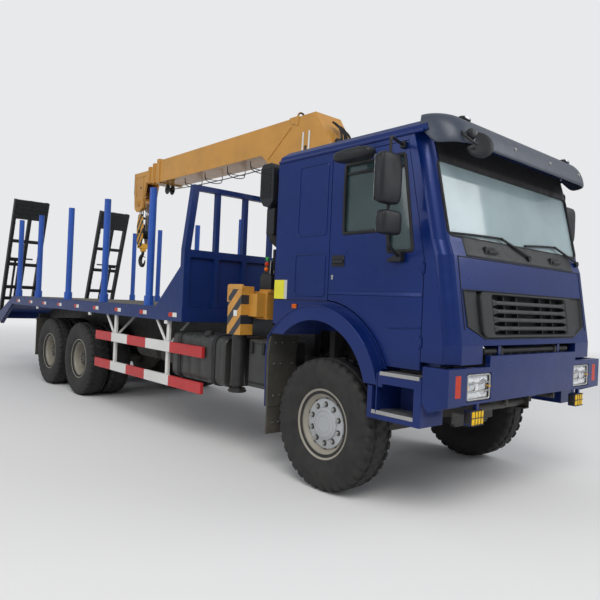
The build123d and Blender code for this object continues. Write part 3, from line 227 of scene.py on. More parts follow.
red_paint = surface("red_paint", (0.5, 0.02, 0.025), 0.38, patch=0.85, grain=0.05, grain_scale=80, dust=0.15)
red_lens = surface("red_lens", (0.52, 0.035, 0.01), 0.3, gloss=0.2, coat=0.1, patch=0.8, patch_scale=40,
    dust=0)
orange_lens = surface("orange_lens", (0.7, 0.12, 0.0), 0.3, gloss=0.2, coat=0.1, patch=0.75, patch_scale=50,
    dust=0)
amber_lens = surface("amber_lens", (0.95, 0.58, 0.0), 0.3, gloss=0.2, coat=0.1, patch=0.6, patch_scale=40,
    dust=0)
green_knob = surface("green_knob", (0.02, 0.3, 0.06), 0.3, patch=0.8, dust=0)
yellow_plate = surface("yellow_plate", (0.72, 0.66, 0.03), 0.4, patch=0.92, dust=0, rounding=0)
grey_plate = surface("grey_plate", (0.5, 0.5, 0.52), 0.4, patch=0.92, dust=0, rounding=0)
seat_fabric = surface("seat_fabric", (0.05, 0.052, 0.058), 0.85, grain=0.5, grain_scale=700, dust=0)
dash_plastic = surface("dash_plastic", (0.09, 0.09, 0.095), 0.6, grain=0.2, grain_scale=800, dust=0)
dusty_deck = surface("dusty_deck", (0.15, 0.14, 0.12), 0.8, patch=0.65, patch_scale=1.3, grain=0.4,
    grain_scale=45, scuff=0.5, scuff_colour=(0.25, 0.23, 0.2), stretch=(1, 0.2, 1))
rope_steel = surface("rope_steel", (0.2, 0.19, 0.18), 0.45, metal=0.7, grain=0.6, grain_scale=260, dust=0)


def tyre_rubber():
    material, tree, shader = node_tree("tyre_rubber")
    patchy = ramp(tree, noise(tree, 9, 6), 0.35, 0.75)
    colour = mixed(tree, patchy, (0.009, 0.009, 0.0095), (0.026, 0.024, 0.022))
    tree.links.new(colour, shader.inputs["Base Color"])
    shader.inputs["Roughness"].default_value = 0.72
    bump = add(tree, "ShaderNodeBump", Strength=0.25, Distance=0.002)
    tree.links.new(noise(tree, 240, 4), bump.inputs["Height"])
    tree.links.new(bump.outputs[0], shader.inputs["Normal"])
    return material


def glass(name, tint, alpha):
    """Window glass: a thin tinted film that mirrors the surroundings."""
    material, tree, shader = node_tree(name)
    haze = mixed(tree, ramp(tree, noise(tree, 1.4, 3), 0.35, 0.7), tint, darker(tint, 0.8))
    tree.links.new(haze, shader.inputs["Base Color"])
    shader.inputs["Alpha"].default_value = alpha
    shader.inputs["Coat Weight"].default_value = 0.5
    shader.inputs["Coat Roughness"].default_value = 0.03
    tree.links.new(ramp(tree, noise(tree, 3, 4), 0.3, 0.7, 0.04, 0.08), shader.inputs["Roughness"])
    return material


def chequer(name, colour, metal, scale):
    """Chequer plate: short raised bars at right angles by turns."""
    material, tree, shader = node_tree(name)
    shader.inputs["Metallic"].default_value = metal
    shader.inputs["Roughness"].default_value = 0.45
    tint = mixed(tree, ramp(tree, noise(tree, 14, 6), 0.35, 0.7), colour, darker(colour, 0.55))
    tree.links.new(tint, shader.inputs["Base Color"])
    place = add(tree, "ShaderNodeTexCoord")
    waves = []
    for angle in (45, -45):
        mapping = add(tree, "ShaderNodeMapping")
        mapping.inputs["Rotation"].default_value = (0, 0, radians(angle))
        mapping.inputs["Scale"].default_value = (scale, scale / 2.4, scale)
        tree.links.new(place.outputs["Object"], mapping.inputs["Vector"])
        cells = add(tree, "ShaderNodeTexVoronoi", Scale=1.0, Randomness=0.0)
        tree.links.new(mapping.outputs[0], cells.inputs["Vector"])
        waves.append(ramp(tree, cells.outputs["Distance"], 0.18, 0.36, 1, 0))
    bars = add(tree, "ShaderNodeMath", operation="MAXIMUM")
    tree.links.new(waves[0], bars.inputs[0])
    tree.links.new(waves[1], bars.inputs[1])
    bump = add(tree, "ShaderNodeBump", Strength=0.9, Distance=0.003)
    tree.links.new(bars.outputs[0], bump.inputs["Height"])
    tree.links.new(bump.outputs[0], shader.inputs["Normal"])
    return material


def stripes(name, first, second, period, slope, offset=0.0):
    """Slanting hazard stripes over Y and Z, painted on a slightly uneven coat."""
    material, tree, shader = node_tree(name)
    place = add(tree, "ShaderNodeTexCoord")
    split = add(tree, "ShaderNodeSeparateXYZ")
    tree.links.new(place.outputs["Object"], split.inputs[0])
    lift = add(tree, "ShaderNodeMath", operation="MULTIPLY_ADD")
    tree.links.new(split.outputs["Y"], lift.inputs[0])
    lift.inputs[1].default_value = slope
    tree.links.new(split.outputs["Z"], lift.inputs[2])
    across = add(tree, "ShaderNodeMath", operation="MULTIPLY_ADD")
    tree.links.new(lift.outputs[0], across.inputs[0])
    across.inputs[1].default_value = 1 / period
    across.inputs[2].default_value = offset
    part = add(tree, "ShaderNodeMath", operation="FRACT")
    tree.links.new(across.outputs[0], part.inputs[0])
    edge = ramp(tree, part.outputs[0], 0.53, 0.55)
    worn = mixed(tree, ramp(tree, noise(tree, 6, 5), 0.35, 0.75), first, darker(first, 0.75))
    tree.links.new(mixed(tree, edge, worn, second), shader.inputs["Base Color"])
    shader.inputs["Roughness"].default_value = 0.4
    normal = add(tree, "ShaderNodeBevel", samples=4, Radius=0.005)
    tree.links.new(normal.outputs[0], shader.inputs["Normal"])
    return material


tyre_material = tyre_rubber()
screen_glass = glass("screen_glass", (0.5, 0.64, 0.68), 0.62)
side_glass = glass("side_glass", (0.05, 0.085, 0.09), 0.8)
mirror_glass = surface("mirror_glass", (0.6, 0.62, 0.64), 0.04, metal=1.0, patch=0.97, dust=0, rounding=0)
lamp_glass = surface("lamp_glass", (0.82, 0.85, 0.88), 0.1, metal=0.35, coat=1.0, patch=0.6, patch_scale=25,
    dust=0)
tread_plate = chequer("tread_plate", (0.32, 0.32, 0.31), 0.7, 45)
jack_stripes = stripes("jack_stripes", CRANE_YELLOW, (0.02, 0.025, 0.035), 0.2, 1.0, 0.62)
hook_stripes = stripes("hook_stripes", (0.6, 0.3, 0.03), (0.02, 0.02, 0.025), 0.17, 1.4, 0.2)


def crane_base_paint():
    """Crane paint on the outrigger box, and near-black on the parts under it, below 1.4 m above the ground.
    """
    material, tree, shader = node_tree("crane_base_paint")
    worn = mixed(tree, ramp(tree, noise(tree, 2.5), 0.35, 0.7), CRANE_YELLOW, darker(CRANE_YELLOW, 0.82))
    tree.links.new(mixed(tree, height(tree, 1.396, 1.399), worn, (0.02, 0.021, 0.023)),
        shader.inputs["Base Color"])
    tree.links.new(ramp(tree, noise(tree, 11, 5), 0.3, 0.7, 0.3, 0.45), shader.inputs["Roughness"])
    normal = add(tree, "ShaderNodeBevel", samples=4, Radius=0.004)
    tree.links.new(normal.outputs[0], shader.inputs["Normal"])
    return material


CAD_MATERIALS = (
    (frame_paint, "frame front_axle rear_bogie deck_frame knuckle_right knuckle_left tie_rod"),
    (cab_paint, "bumper cab_steps cab_tub cab_side_right cab_side_left cab_front cab_roof"),
    (cab_paint, "door_right door_left"), (tank_paint, "fuel_tank side_boxes"),
    (crane_paint, "crane_column luff_barrel boom_base boom_section_2 boom_section_3 boom_tip hook_block"),
    (crane_paint, "outrigger_beam_right outrigger_beam_left"), (crane_base_paint(), "crane_base"),
    (plastic, "intake mirrors_right mirrors_left"), (dark_steel, "engine jack_leg_right jack_leg_left"),
    (deck_paint, "deck headboard"), (ramp_paint, "ramp_right ramp_left"),
    (guard_grey, "mudguards"), (white_paint, "side_guards"), (post_paint, "stake_posts"),
    (lamp_glass, "headlamps"), (grille_plastic, "grille"), (visor_plastic, "visor"),
    (screen_glass, "windscreen"), (seat_fabric, "seats"), (dash_plastic, "dashboard"), (chrome, "luff_rod"),
)
by_node = {name: material for material, names in CAD_MATERIALS for name in names.split()}
for name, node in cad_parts.items():
    wheel = tyre_material if "tyre" in name else rim_paint
    for slot in node.material_slots:
        slot.material = by_node.get(name, wheel)


# Building pieces

def turns(count):
    """Angles of that many even steps round a circle."""
    return [2 * pi * i / count for i in range(count)]


def rounded(x0, x1, z0, z1, corner, steps):
    """Outline of a rectangle with round corners of that many steps."""
    points = []
    for x, z, start in ((x1 - corner, z1 - corner, 0), (x0 + corner, z1 - corner, 90),
                        (x0 + corner, z0 + corner, 180), (x1 - corner, z0 + corner, 270)):
        for i in range(steps + 1):
            a = radians(start + 90 / steps * i)
            points.append((x + corner * cos(a), z + corner * sin(a)))
    return points


def thicken(piece, amount):
    piece.modifiers.new("thick", "SOLIDIFY").thickness = amount / 1000


class Build:
    """Gathers forms in one mesh, in millimetres, and makes a piece of them with done()."""

    def __init__(self):
        self.mesh = bmesh.new()

    def grid(self, rows, closed=False):
        """Faces between rows of points; closed joins each row's ends."""
        made = [[self.mesh.verts.new(at(*point)) for point in row] for row in rows]
        for first, second in zip(made, made[1:]):
            count = len(first)
            for i in range(count if closed else count - 1):
                j = (i + 1) % count
                self.mesh.faces.new((first[i], first[j], second[j], second[i]))
        return made

    def solid(self, rows):
        """Closed rows with both ends capped."""
        made = self.grid(rows, closed=True)
        self.mesh.faces.new(made[0])
        self.mesh.faces.new(made[-1][::-1])
        return self

    def prism(self, axis, outline, low, high):
        """Outline of (y, z), (x, z) or (x, y) points, drawn out along the axis."""
        def place(depth, a, b):
            return {"x": (depth, a, b), "y": (a, depth, b), "z": (a, b, depth)}[axis]
        return self.solid([[place(depth, a, b) for a, b in outline] for depth in (low, high)])

    def box(self, x, y, z):
        (x0, x1), (y0, y1) = sorted(x), sorted(y)
        return self.prism("z", [(x0, y0), (x1, y0), (x1, y1), (x0, y1)], *sorted(z))

    def rod(self, start, end, radius, end_radius=None, count=20):
        start, end = Vector(start), Vector(end)
        way = (end - start).normalized()
        side = way.orthogonal().normalized()
        other = way.cross(side)
        rows = []
        for point, reach in ((start, radius), (end, radius if end_radius is None else end_radius)):
            rows.append([point + (side * cos(a) + other * sin(a)) * reach for a in turns(count)])
        return self.solid(rows)

    def lathe(self, profile, centre, count=64, shape=None):
        """(offset along X, radius) points turned about X; shape may change a point."""
        rows = []
        for i, angle in enumerate(turns(count)):
            row = []
            for offset, radius in profile:
                if shape:
                    offset, radius = shape(offset, radius, i)
                row.append((centre[0] + offset, centre[1] + radius * cos(angle),
                    centre[2] + radius * sin(angle)))
            rows.append(row)
        made = self.grid(rows)
        for i in range(len(profile) - 1):
            first, last = made[0], made[-1]
            self.mesh.faces.new((last[i], last[i + 1], first[i + 1], first[i]))
        return self

    def pillow(self, centre, size, squareness=4.0, rows=13, count=40):
        """Rounded block; a higher squareness is nearer to a box."""
        def bent(value):
            return copysign(abs(value) ** (2 / squareness), value)
        layers = []
        for i in range(rows):
            tilt = -pi / 2 + pi * i / (rows - 1)
            reach = max(bent(cos(tilt)), 0.02)
            layers.append([(centre[0] + size[0] * bent(cos(a)) * reach,
                centre[1] + size[1] * bent(sin(a)) * reach, centre[2] + size[2] * bent(sin(tilt)))
                for a in turns(count)])
        return self.solid(layers)

    def hexagon(self, centre, way, radius, thick):
        """Nut or bolt head."""
        end = Vector(centre) + Vector(way).normalized() * thick
        return self.rod(centre, end, radius, radius * 0.94, count=6)

    def mirror(self):
        """Adds the far side's copy."""
        copy = bmesh.ops.duplicate(self.mesh, geom=self.mesh.verts[:] + self.mesh.faces[:])
        moved = [item for item in copy["geom"] if isinstance(item, bmesh.types.BMVert)]
        faces = [item for item in copy["geom"] if isinstance(item, bmesh.types.BMFace)]
        for vertex in moved:
            vertex.co.x = -vertex.co.x
        bmesh.ops.reverse_faces(self.mesh, faces=faces)
        return self

    def data(self, name, material, angle):
        """Blender's mesh, with edges smooth up to that angle."""
        bmesh.ops.recalc_face_normals(self.mesh, faces=self.mesh.faces)
        for edge in self.mesh.edges:
            if len(edge.link_faces) == 2 and angle < 180:
                edge.smooth = edge.calc_face_angle() < radians(angle)
        for face in self.mesh.faces:
            face.smooth = True
        data = bpy.data.meshes.new(name)
        self.mesh.to_mesh(data)
        self.mesh.free()
        data.materials.append(material)
        return data

    def done(self, name, material, body, bevel=0, segments=2, levels=0, angle=35, replaces=()):
        """The piece; bevel in millimetres, levels of subdivision."""
        piece = linked(name, self.data(name, material, 180 if levels else angle))
        if bevel:
            modifier = piece.modifiers.new("bevel", "BEVEL")
            modifier.width = bevel / 1000
            modifier.segments = segments
            modifier.limit_method = "ANGLE"
            modifier.angle_limit = radians(40)
            modifier.harden_normals = True
        if levels:
            modifier = piece.modifiers.new("smooth", "SUBSURF")
            modifier.levels = modifier.render_levels = levels
        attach(piece, body)
        if replaces:
            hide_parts(*replaces)
        return piece


def line(name, points, radius, material, body, closed=False):
    """Round bar, pipe or bead along points."""
    curve = bpy.data.curves.new(name, "CURVE")
    curve.dimensions = "3D"
    curve.bevel_depth = radius / 1000
    curve.bevel_resolution = 4
    spline = curve.splines.new("NURBS")
    spline.points.add(len(points) - 1)
    for point, place in zip(spline.points, points):
        point.co = (*at(*place), 1)
    spline.order_u = 3
    spline.use_endpoint_u = not closed
    spline.use_cyclic_u = closed
    curve.materials.append(material)
    piece = linked(name, curve)
    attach(piece, body)
    return piece


def ring_points(plane, fixed, low, high, corner):
    """Rounded rectangle's control points in the x, y or z plane, for a closed bead."""
    (a0, b0), (a1, b1) = low, high
    flat = []
    for a, b, da, db in ((a0, b0, 1, 1), (a1, b0, -1, 1), (a1, b1, -1, -1), (a0, b1, 1, -1)):
        ends = [(a, b + db * corner), (a, b), (a + da * corner, b)]
        flat += ends if (da > 0) == (db > 0) else ends[::-1]
    return [{"x": (fixed, a, b), "y": (a, fixed, b), "z": (a, b, fixed)}[plane] for a, b in flat]


# Tyres and wheels

TREAD_STEPS = 216


def tread(offset, radius, step):
    """Cuts the tread's grooves and shoulder blocks."""
    if radius < 505 or abs(offset) > 156:
        return offset, radius
    side = 1 if offset > 0 else -1
    phase = (step + (3 if side > 0 else 0)) % 6
    reach = abs(offset)
    if reach > 95:
        return offset, radius - (17 if phase < 2 else 0)
    if 58 < reach <= 95:
        return offset, radius - 15
    phase = (step + (2 if side > 0 else 0) + round(reach / 20)) % 6
    return offset, radius - (12 if phase < 2 and reach > 8 else 0)


def tyre_mesh():
    """One tyre about X at the origin of its own object, in metres."""
    half = [(113.7, 254.3), (120, 285), (127, 307), (138, 330), (150, 370), (156.5, 408), (157.5, 430),
        (156, 462), (152, 492), (150, 506), (147, 528), (136, 548), (122, 556), (97, 560), (94, 560),
        (60, 561.5), (57, 561.5), (32, 562.3), (2, WHEEL_Z)]
    profile = [(-offset, radius) for offset, radius in half] + half[::-1]
    return Build().lathe(profile, (0, SHIFT_Y, 0), TREAD_STEPS, tread).data("tyre", tyre_material, 40)


tyre_data = tyre_mesh()


def place_tyre(name, x, y, body, node):
    piece = linked(name, tyre_data)
    piece.location = at(x, y, WHEEL_Z)
    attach(piece, body)
    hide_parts(node)


def wheel_bolts(build, x, y, side, circle, count, radius, thick):
    for i in range(count):
        angle = 2 * pi * (i + 0.5) / count
        point = (x, y + circle * cos(angle), WHEEL_Z + circle * sin(angle))
        build.hexagon(point, (side, 0, 0), radius, thick)


def front_wheel(side):
    name = SIDE_NAME[side]
    x = side * FRONT_WHEEL_X
    body = "front_wheel_" + name
    place_tyre("tyre_front_" + name, x, 0, body, "front_tyre_" + name)
    rim = [(-127, 298), (-114, 296), (-114, 254), (-80, 250), (84, 250), (100, 262), (112, 292), (122, 302),
        (129, 297), (122, 286), (104, 254), (92, 240), (84, 236), (78, 226), (64, 218), (62, 200), (40, 196),
        (40, 170)]
    disc = [(66, 214), (76, 210), (80, 190), (80, 140), (92, 134), (95, 128), (97, 60), (97, 0)]
    Build().lathe([(side * a, r) for a, r in rim], (x, 0, WHEEL_Z), 96).done("rim_" + body, rim_paint, body,
        replaces=("front_wheel_" + name,))
    Build().lathe([(side * a, max(r, 0.4)) for a, r in disc], (x, 0, WHEEL_Z), 96).done(
        "disc_" + body, hub_paint, body)
    # Near-black discs where the rim's holes and the nut seats are: painted shade of these hollows.
    dark = Build()
    nuts = Build()
    for i in range(10):
        angle = 2 * pi * (i + 0.5) / 10
        y, z = cos(angle), sin(angle)
        hole = (y * 228, WHEEL_Z + z * 228)
        dark.rod((x + side * 68, hole[0], hole[1]), (x + side * 73.5, hole[0], hole[1]), 17, 16)
        seat = (y * 166, WHEEL_Z + z * 166)
        dark.rod((x + side * 79, *seat), (x + side * 83, *seat), 25, 23)
        nuts.hexagon((x + side * 82, *seat), (side, 0, 0), 16, 17)
        nuts.rod((x + side * 95, *seat), (x + side * 104, *seat), 9, 8, count=12)
    dark.done("hole_shade_" + body, dark_steel, body)
    nuts.done("nuts_" + body, bare_steel, body)
    build = Build()
    for radius in (112, 70):
        build.lathe([(side * 95, radius - 4), (side * 99, radius - 2), (side * 99, radius + 2),
            (side * 95, radius + 4)], (x, 0, WHEEL_Z), 64)
    build.done("cap_rings_" + body, hub_paint, body)


def rear_wheel(side, number, y):
    name = f"{number}_{SIDE_NAME[side]}"
    body = "rear_wheel_" + name
    for tag, x in (("outer", REAR_OUTER_X), ("inner", REAR_INNER_X)):
        place_tyre(f"tyre_{tag}_{name}", side * x, y, body, "rear_tyres_" + name)
    x = side * REAR_OUTER_X
    outer = [(127, 288), (131, 297), (124, 302), (113, 294), (101, 262), (84, 252), (40, 247), (-70, 246),
        (-84, 238), (-92, 224), (-98, 205), (-100, 150), (-100, 120)]
    build = Build()
    build.lathe([(side * a, r) for a, r in outer], (x, y, WHEEL_Z), 72)
    build.lathe([(-side * a, r) for a, r in outer], (side * REAR_INNER_X, y, WHEEL_Z), 72)
    build.done("rims_" + body, rim_paint, body, replaces=("rear_wheel_" + name,))
    hub = [(-104, 150), (-84, 142), (-40, 134), (0, 128), (22, 120), (40, 108), (46, 90), (50, 60), (56, 44),
        (58, 0.4)]
    build = Build()
    build.lathe([(side * a, r) for a, r in hub], (x, y, WHEEL_Z), 48)
    build.rod((side * 560, y, WHEEL_Z), (side * 950, y, WHEEL_Z), 196, count=48)
    wheel_bolts(build, x + side * 54, y, side, 74, 8, 11, 10)
    build.done("hub_" + body, frame_paint, body)
    build = Build()
    wheel_bolts(build, x - side * 98, y, side, 168, 10, 17, 30)
    build.done("nuts_" + body, bare_steel, body)
    # Near-black discs where the rims' holes are: painted shade of the holes.
    build = Build()
    for angle in turns(10):
        py, pz = y + 214 * cos(angle), WHEEL_Z + 214 * sin(angle)
        build.rod((x - side * 99, py, pz), (x - side * 93, py, pz), 20)
    build.done("hole_shade_" + body, dark_steel, body)


for side in SIDES:
    front_wheel(side)
    for number, y in ((1, 5500), (2, 6830)):
        rear_wheel(side, number, y)


# Cab

def front_y(z):
    """Y of the cab's front face on its centre line."""
    outline = ((-1240, 1190), (-1240, 1325), (-1222, 1450), (-1175, 1750), (-1140, 1980), (-1100, 2090),
        (-960, 2710), (-905, 2905))
    for (y_low, z_low), (y_high, z_high) in zip(outline, outline[1:]):
        if z <= z_high:
            return y_low + (y_high - y_low) * (z - z_low) / (z_high - z_low)
    return outline[-1][0]


def cab_panels(side):
    """Pressed panels, plates and the small fittings of one side."""
    name = SIDE_NAME[side]
    x = side * CAB_SIDE
    line(f"press_upper_{name}", ring_points("x", x, (95, 2185), (468, 2812), 70), 7, cab_paint, "cab", True)
    line(f"press_lower_{name}", ring_points("x", x, (95, 1650), (485, 2018), 50), 7, cab_paint, "cab", True)
    Build().box((x, x + side * 4), (55, 776), (1606, 1611)).done("seam_" + name, rubber, "cab")
    Build().prism("y", [(side * 1138, 2890), (side * 1160, 2894), (side * 1163, 2908), (side * 1150, 2922),
        (side * 1138, 2922)], -900, 776).done("gutter_" + name, cab_paint, "cab", bevel=3)
    Build().box((x, x + side * 14), (440, 500), (1528, 1570)).done("side_marker_" + name, orange_lens, "cab",
        bevel=5)
    Build().box((x, x + side * 2), (632, 776), (1612, 1790)).done("plain_plate_" + name, yellow_plate, "cab",
        bevel=1)
    Build().box((x, x + side * 2), (590, 631), (1612, 1790)).done("plain_plate_edge_" + name, grey_plate,
        "cab", bevel=1)
    arch = []
    for step in range(19):
        angle = radians(142 - step * 6)
        arch.append((x + side * 101, 100 + 747 * cos(angle), 820 + 747 * sin(angle)))
    line("arch_edge_" + name, arch, 7, cab_paint, "cab")


def door_details(side):
    name = SIDE_NAME[side]
    body = "door_" + name
    x = side * CAB_SIDE
    frame_outline = ((-110, 2180), (-110, 2755), (-735, 2755), (-845, 2010), (-600, 2010), (-600, 2180))
    corners = []
    for i, (y, z) in enumerate(frame_outline):
        before = Vector(frame_outline[i - 1]) - Vector((y, z))
        after = Vector(frame_outline[(i + 1) % 6]) - Vector((y, z))
        corner = Vector((y, z))
        corners += [corner + before.normalized() * 45, corner, corner + after.normalized() * 45]
    line("window_seal_" + name, [(x - side * 2, y, z) for y, z in corners], 14, rubber, body, True)
    build = Build()
    pane = [(-104, 2174), (-104, 2761), (-741, 2761), (-851, 2004), (-594, 2004), (-594, 2174)]
    build.prism("x", pane, x - side * 26, x - side * 20)
    build.done("window_glass_" + name, side_glass, body)
    Build().box((x - side * 28, x - side * 8), (-740, -108), (2668, 2690)).done(
        "window_bar_" + name, rubber, body, bevel=3)
    Build().box((x - 1, x + side * 5), (-140, 8), (1902, 2000)).done(
        "handle_frame_" + name, rubber, body, bevel=4)
    Build().prism("y", [(x + side * 4, 1962), (x + side * 16, 1956), (x + side * 18, 1932),
        (x + side * 12, 1930), (x + side * 10, 1948), (x + side * 4, 1950)], -130, -2).done(
        "handle_grip_" + name, plastic, body, bevel=2)
    build = Build()
    build.rod((x, -2, 1822), (x + side * 6, -2, 1822), 13, 11, count=16)
    build.rod((x, -2, 1802), (x + side * 5, -2, 1802), 11, 10, count=16)
    build.done("lock_" + name, bare_steel, body)
    Build().prism("y", [(x, 1664), (x + side * 6, 1668), (x + side * 2, 1690), (x, 1700)], -945, 38).done(
        "door_crease_" + name, cab_paint, body, bevel=2)
    line(f"door_step_line_{name}", [(x, -640, 1420), (x, -800, 1425), (x, -942, 1440)], 6, cab_paint, body)


def mirror_set(side):
    name = SIDE_NAME[side]
    body = "door_" + name
    face = side * CAB_SIDE
    arm = side * 1399
    post = [(face + side * 25, -725, 2820), (arm - side * 60, -775, 2822), (arm, -800, 2822),
        (arm, -800, 2760), (arm, -800, 2400), (arm, -800, 2180), (arm, -800, 2090),
        (arm - side * 60, -780, 2020), (face + side * 40, -740, 1965)]
    bar = line("mirror_arm_" + name, post, 12, dark_steel, body)
    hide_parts("mirrors_" + name)
    build = Build()
    build.box((face, face + side * 34), (-750, -704), (2794, 2843))
    build.prism("x", [(-640, 1925), (-640, 1945), (-720, 1985), (-745, 2010), (-770, 2005), (-775, 1940),
        (-770, 1925)], face, face + side * 55)
    build.done("mirror_feet_" + name, plastic, body, bevel=7, segments=3)
    build = Build()
    build.pillow((side * 1438, -822, 2505), (119, 46, 185), 5)
    build.pillow((side * 1412, -822, 2190), (108, 46, 88), 5)
    for z in (2640, 2380, 2250, 2130):
        build.rod((arm, -800, z - 12), (arm, -800, z + 12), 22)
    build.done("mirror_heads_" + name, plastic, body, angle=50)
    build = Build()
    for middle, half, low, high in ((1438, 100, 2342, 2668), (1412, 88, 2120, 2260)):
        build.box((side * (middle - half), side * (middle + half)), (-777, -774.5), (low, high))
    build.done("mirror_glass_" + name, mirror_glass, body, bevel=1)
    Build().pillow((side * 1330, -370, 2765), (75, 205, 50), 3).done(
        "kerb_mirror_" + name, plastic, body, angle=50)
    arm_points = [(side * 1160, -330, 2790), (side * 1200, -340, 2840), (side * 1290, -360, 2848),
        (side * 1320, -370, 2800)]
    line("kerb_arm_" + name, arm_points, 11, dark_steel, body)
    Build().box((face, side * 1172), (-350, -310), (2772, 2812)).done(
        "kerb_foot_" + name, plastic, body, bevel=5)


for side in SIDES:
    cab_panels(side)
    door_details(side)
    mirror_set(side)


def wrap(half, rear, front, radius):
    """Plan line round the cab's front: along one side, round the corner, across and back."""
    points = [(-half, rear + (front + radius - rear) * i / 4) for i in range(4)]
    for i in range(9):
        a = radians(180 + 90 * i / 8)
        points.append((-half + radius + radius * cos(a), front + radius + radius * sin(a)))
    inner = half - radius
    points += [(-inner + 2 * inner * i / 10, front) for i in range(1, 10)]
    return points + [(-x, y) for x, y in points[12::-1]]


def visor():
    """Curved visor whose ends turn back along the roof, its stays, lamps and bolts, and the dark band under
    it, which is partly a real black band and partly painted shade of the visor.
    """
    levels = ((2797, 10, -1166, 205, -850, 1), (2795, 1, -1184, 215, -850, 1),
        (2868, 2, -1172, 214, -850, 0.6), (2940, 5, -1140, 210, -850, 0.3), (3006, 16, -1082, 190, -845, 0.1),
        (3042, 40, -1006, 150, -830, 0), (3056, 70, -920, 100, -805, 0), (3060, 100, -840, 40, -786, 0))
    rows = []
    for z, inset, front, radius, rear, lift in levels:
        plan = wrap(1136 - inset, rear, front, radius)
        rows.append([(x, y, z + max(0, y + 985) * lift) for x, y in plan])
    build = Build()
    build.grid(rows)
    thicken(build.done("visor_shell", visor_plastic, "cab", levels=2, replaces=("visor",)), 12)
    build = Build()
    for x in (-1000, -350, 350, 1000):
        build.prism("x", [(-935, 2900), (-935, 3036), (-960, 3030), (-1040, 2990), (-1098, 2940),
            (-1090, 2925), (-1000, 2930)], x - 12, x + 12)
    build.done("visor_stays", plastic, "cab", bevel=3)
    for i, x in enumerate((-845, 845)):
        Build().pillow((x, -1040, 3026), (62, 32, 18), 3).done(f"roof_lamp_{i}", plastic, "cab")
        Build().pillow((x, -1056, 3030), (42, 18, 13), 3).done(f"roof_lamp_lens_{i}", lamp_glass, "cab")
    build = Build()
    for x in (-880, -300, 300, 880):
        build.rod((x, -1158, 2892), (x, -1172, 2886), 13, 11, count=16)
        build.rod((x, -900, 3052), (x, -900, 3062), 12, 10, count=16)
    build.done("visor_bolts", bare_steel, "cab")
    # Dark band on the cab's front under the visor: partly a real black band, partly painted shade cast by the
    # visor.
    rows = []
    for z in (2700, 2760, 2830, 2895, 2990):
        rows.append([(x, front_y(z) - 7, z) for x in range(-1040, 1041, 208)])
    build = Build()
    build.grid(rows)
    thicken(build.done("header_band_and_painted_shade", rubber, "cab"), 6)


visor()


def front_mirror():
    """Round mirror on its bracket at the visor's near corner."""
    centre, way = Vector((-862, -1188, 2804)), Vector((-0.55, -0.75, 0.37)).normalized()
    build = Build()
    build.rod(centre - way * 18, centre + way * 4, 106, 112, count=48)
    build.rod(centre + way * 4, centre + way * 16, 112, 88, count=48)
    build.rod(centre + way * 16, centre + way * 22, 88, 40, count=48)
    build.done("front_mirror", plastic, "cab", bevel=4, segments=3)
    Build().rod(centre - way * 22, centre - way * 18.5, 98, 100, count=48).done(
        "front_mirror_glass", mirror_glass, "cab")
    build = Build()
    build.pillow((-950, -1176, 2868), (40, 24, 36), 3)
    build.rod((-950, -1150, 2885), (-925, -1190, 2840), 22, 18)
    build.done("front_mirror_joint", plastic, "cab")
    line("front_mirror_arm", [(-1010, -1130, 2880), (-1050, -1170, 2850), (-1000, -1205, 2800),
        (-930, -1212, 2790)], 10, dark_steel, "cab")


front_mirror()


def cab_nose():
    """Windscreen seal, cowl, wipers and the seams of the cab's front."""
    def on_glass(x, z, off=0):
        return (x, front_y(z) + 14 - off, z)
    corners = ring_points("y", 0, (-1050, 2125), (1050, 2700), 90)
    line("screen_seal", [on_glass(x, z, 10) for x, _, z in corners], 11, rubber, "cab", True)
    rows = []
    for z in (1985, 2000, 2090, 2118, 2124):
        y = front_y(z) - 6
        rows.append([(x, y + (8 if abs(x) > 880 else 0), z) for x in (-900, -880, -440, 0, 440, 880, 900)])
    build = Build()
    build.grid(rows)
    thicken(build.done("cowl", grille_plastic, "cab"), 10)
    build = Build()
    for x in (-560, 520):
        y = front_y(2050)
        build.box((x - 70, x + 70), (y - 22, y - 4), (2020, 2078))
        build.rod((x - 30, y - 22, 2040), (x + 110, y - 22, 2045), 13, count=12)
    build.done("cowl_fittings", dark_steel, "cab", bevel=3)
    wipers = (((60, 2050), (-330, 2172), (-1030, 2143)), ((1000, 2070), (620, 2190), (70, 2150)))
    for i, (foot, joint, tip) in enumerate(wipers):
        base = (foot[0], front_y(foot[1]) - 22, foot[1])
        middle = on_glass((foot[0] + joint[0]) / 2, (foot[1] + joint[1]) / 2, 34)
        line(f"wiper_arm_{i}", [base, middle, on_glass(*joint, 22)], 10, rubber, "cab")
        blade = [on_glass(joint[0] + 40, joint[1] + 2, 14), on_glass((joint[0] + tip[0]) / 2,
            (joint[1] + tip[1]) / 2 + 6, 18), on_glass(*tip, 14)]
        line(f"wiper_blade_{i}", blade, 9, rubber, "cab")
    build = Build()
    for (x, z), _, _ in wipers:
        build.rod((x, front_y(z) - 30, z - 8), (x, front_y(z) - 4, z - 8), 26, 22)
    build.done("wiper_pivots", plastic, "cab", bevel=2)
    for side in SIDES:
        seam = [(side * 1004, front_y(z) - 1, z) for z in range(1440, 1981, 60)]
        line("front_seam_" + SIDE_NAME[side], seam, 4, rubber, "cab")
    line("front_seam_top", [(x, front_y(1975) - 1, 1975) for x in (-1004, -500, 0, 500, 1004)], 4, rubber,
        "cab")
    build = Build()
    for side in SIDES:
        x = side * CAB_SIDE
        for z in range(1200, 1950, 250):
            build.box((x, x - side * 3), (-957, -954), (z, z + 250))
    build.done("pillar_seams", rubber, "cab")


cab_nose()


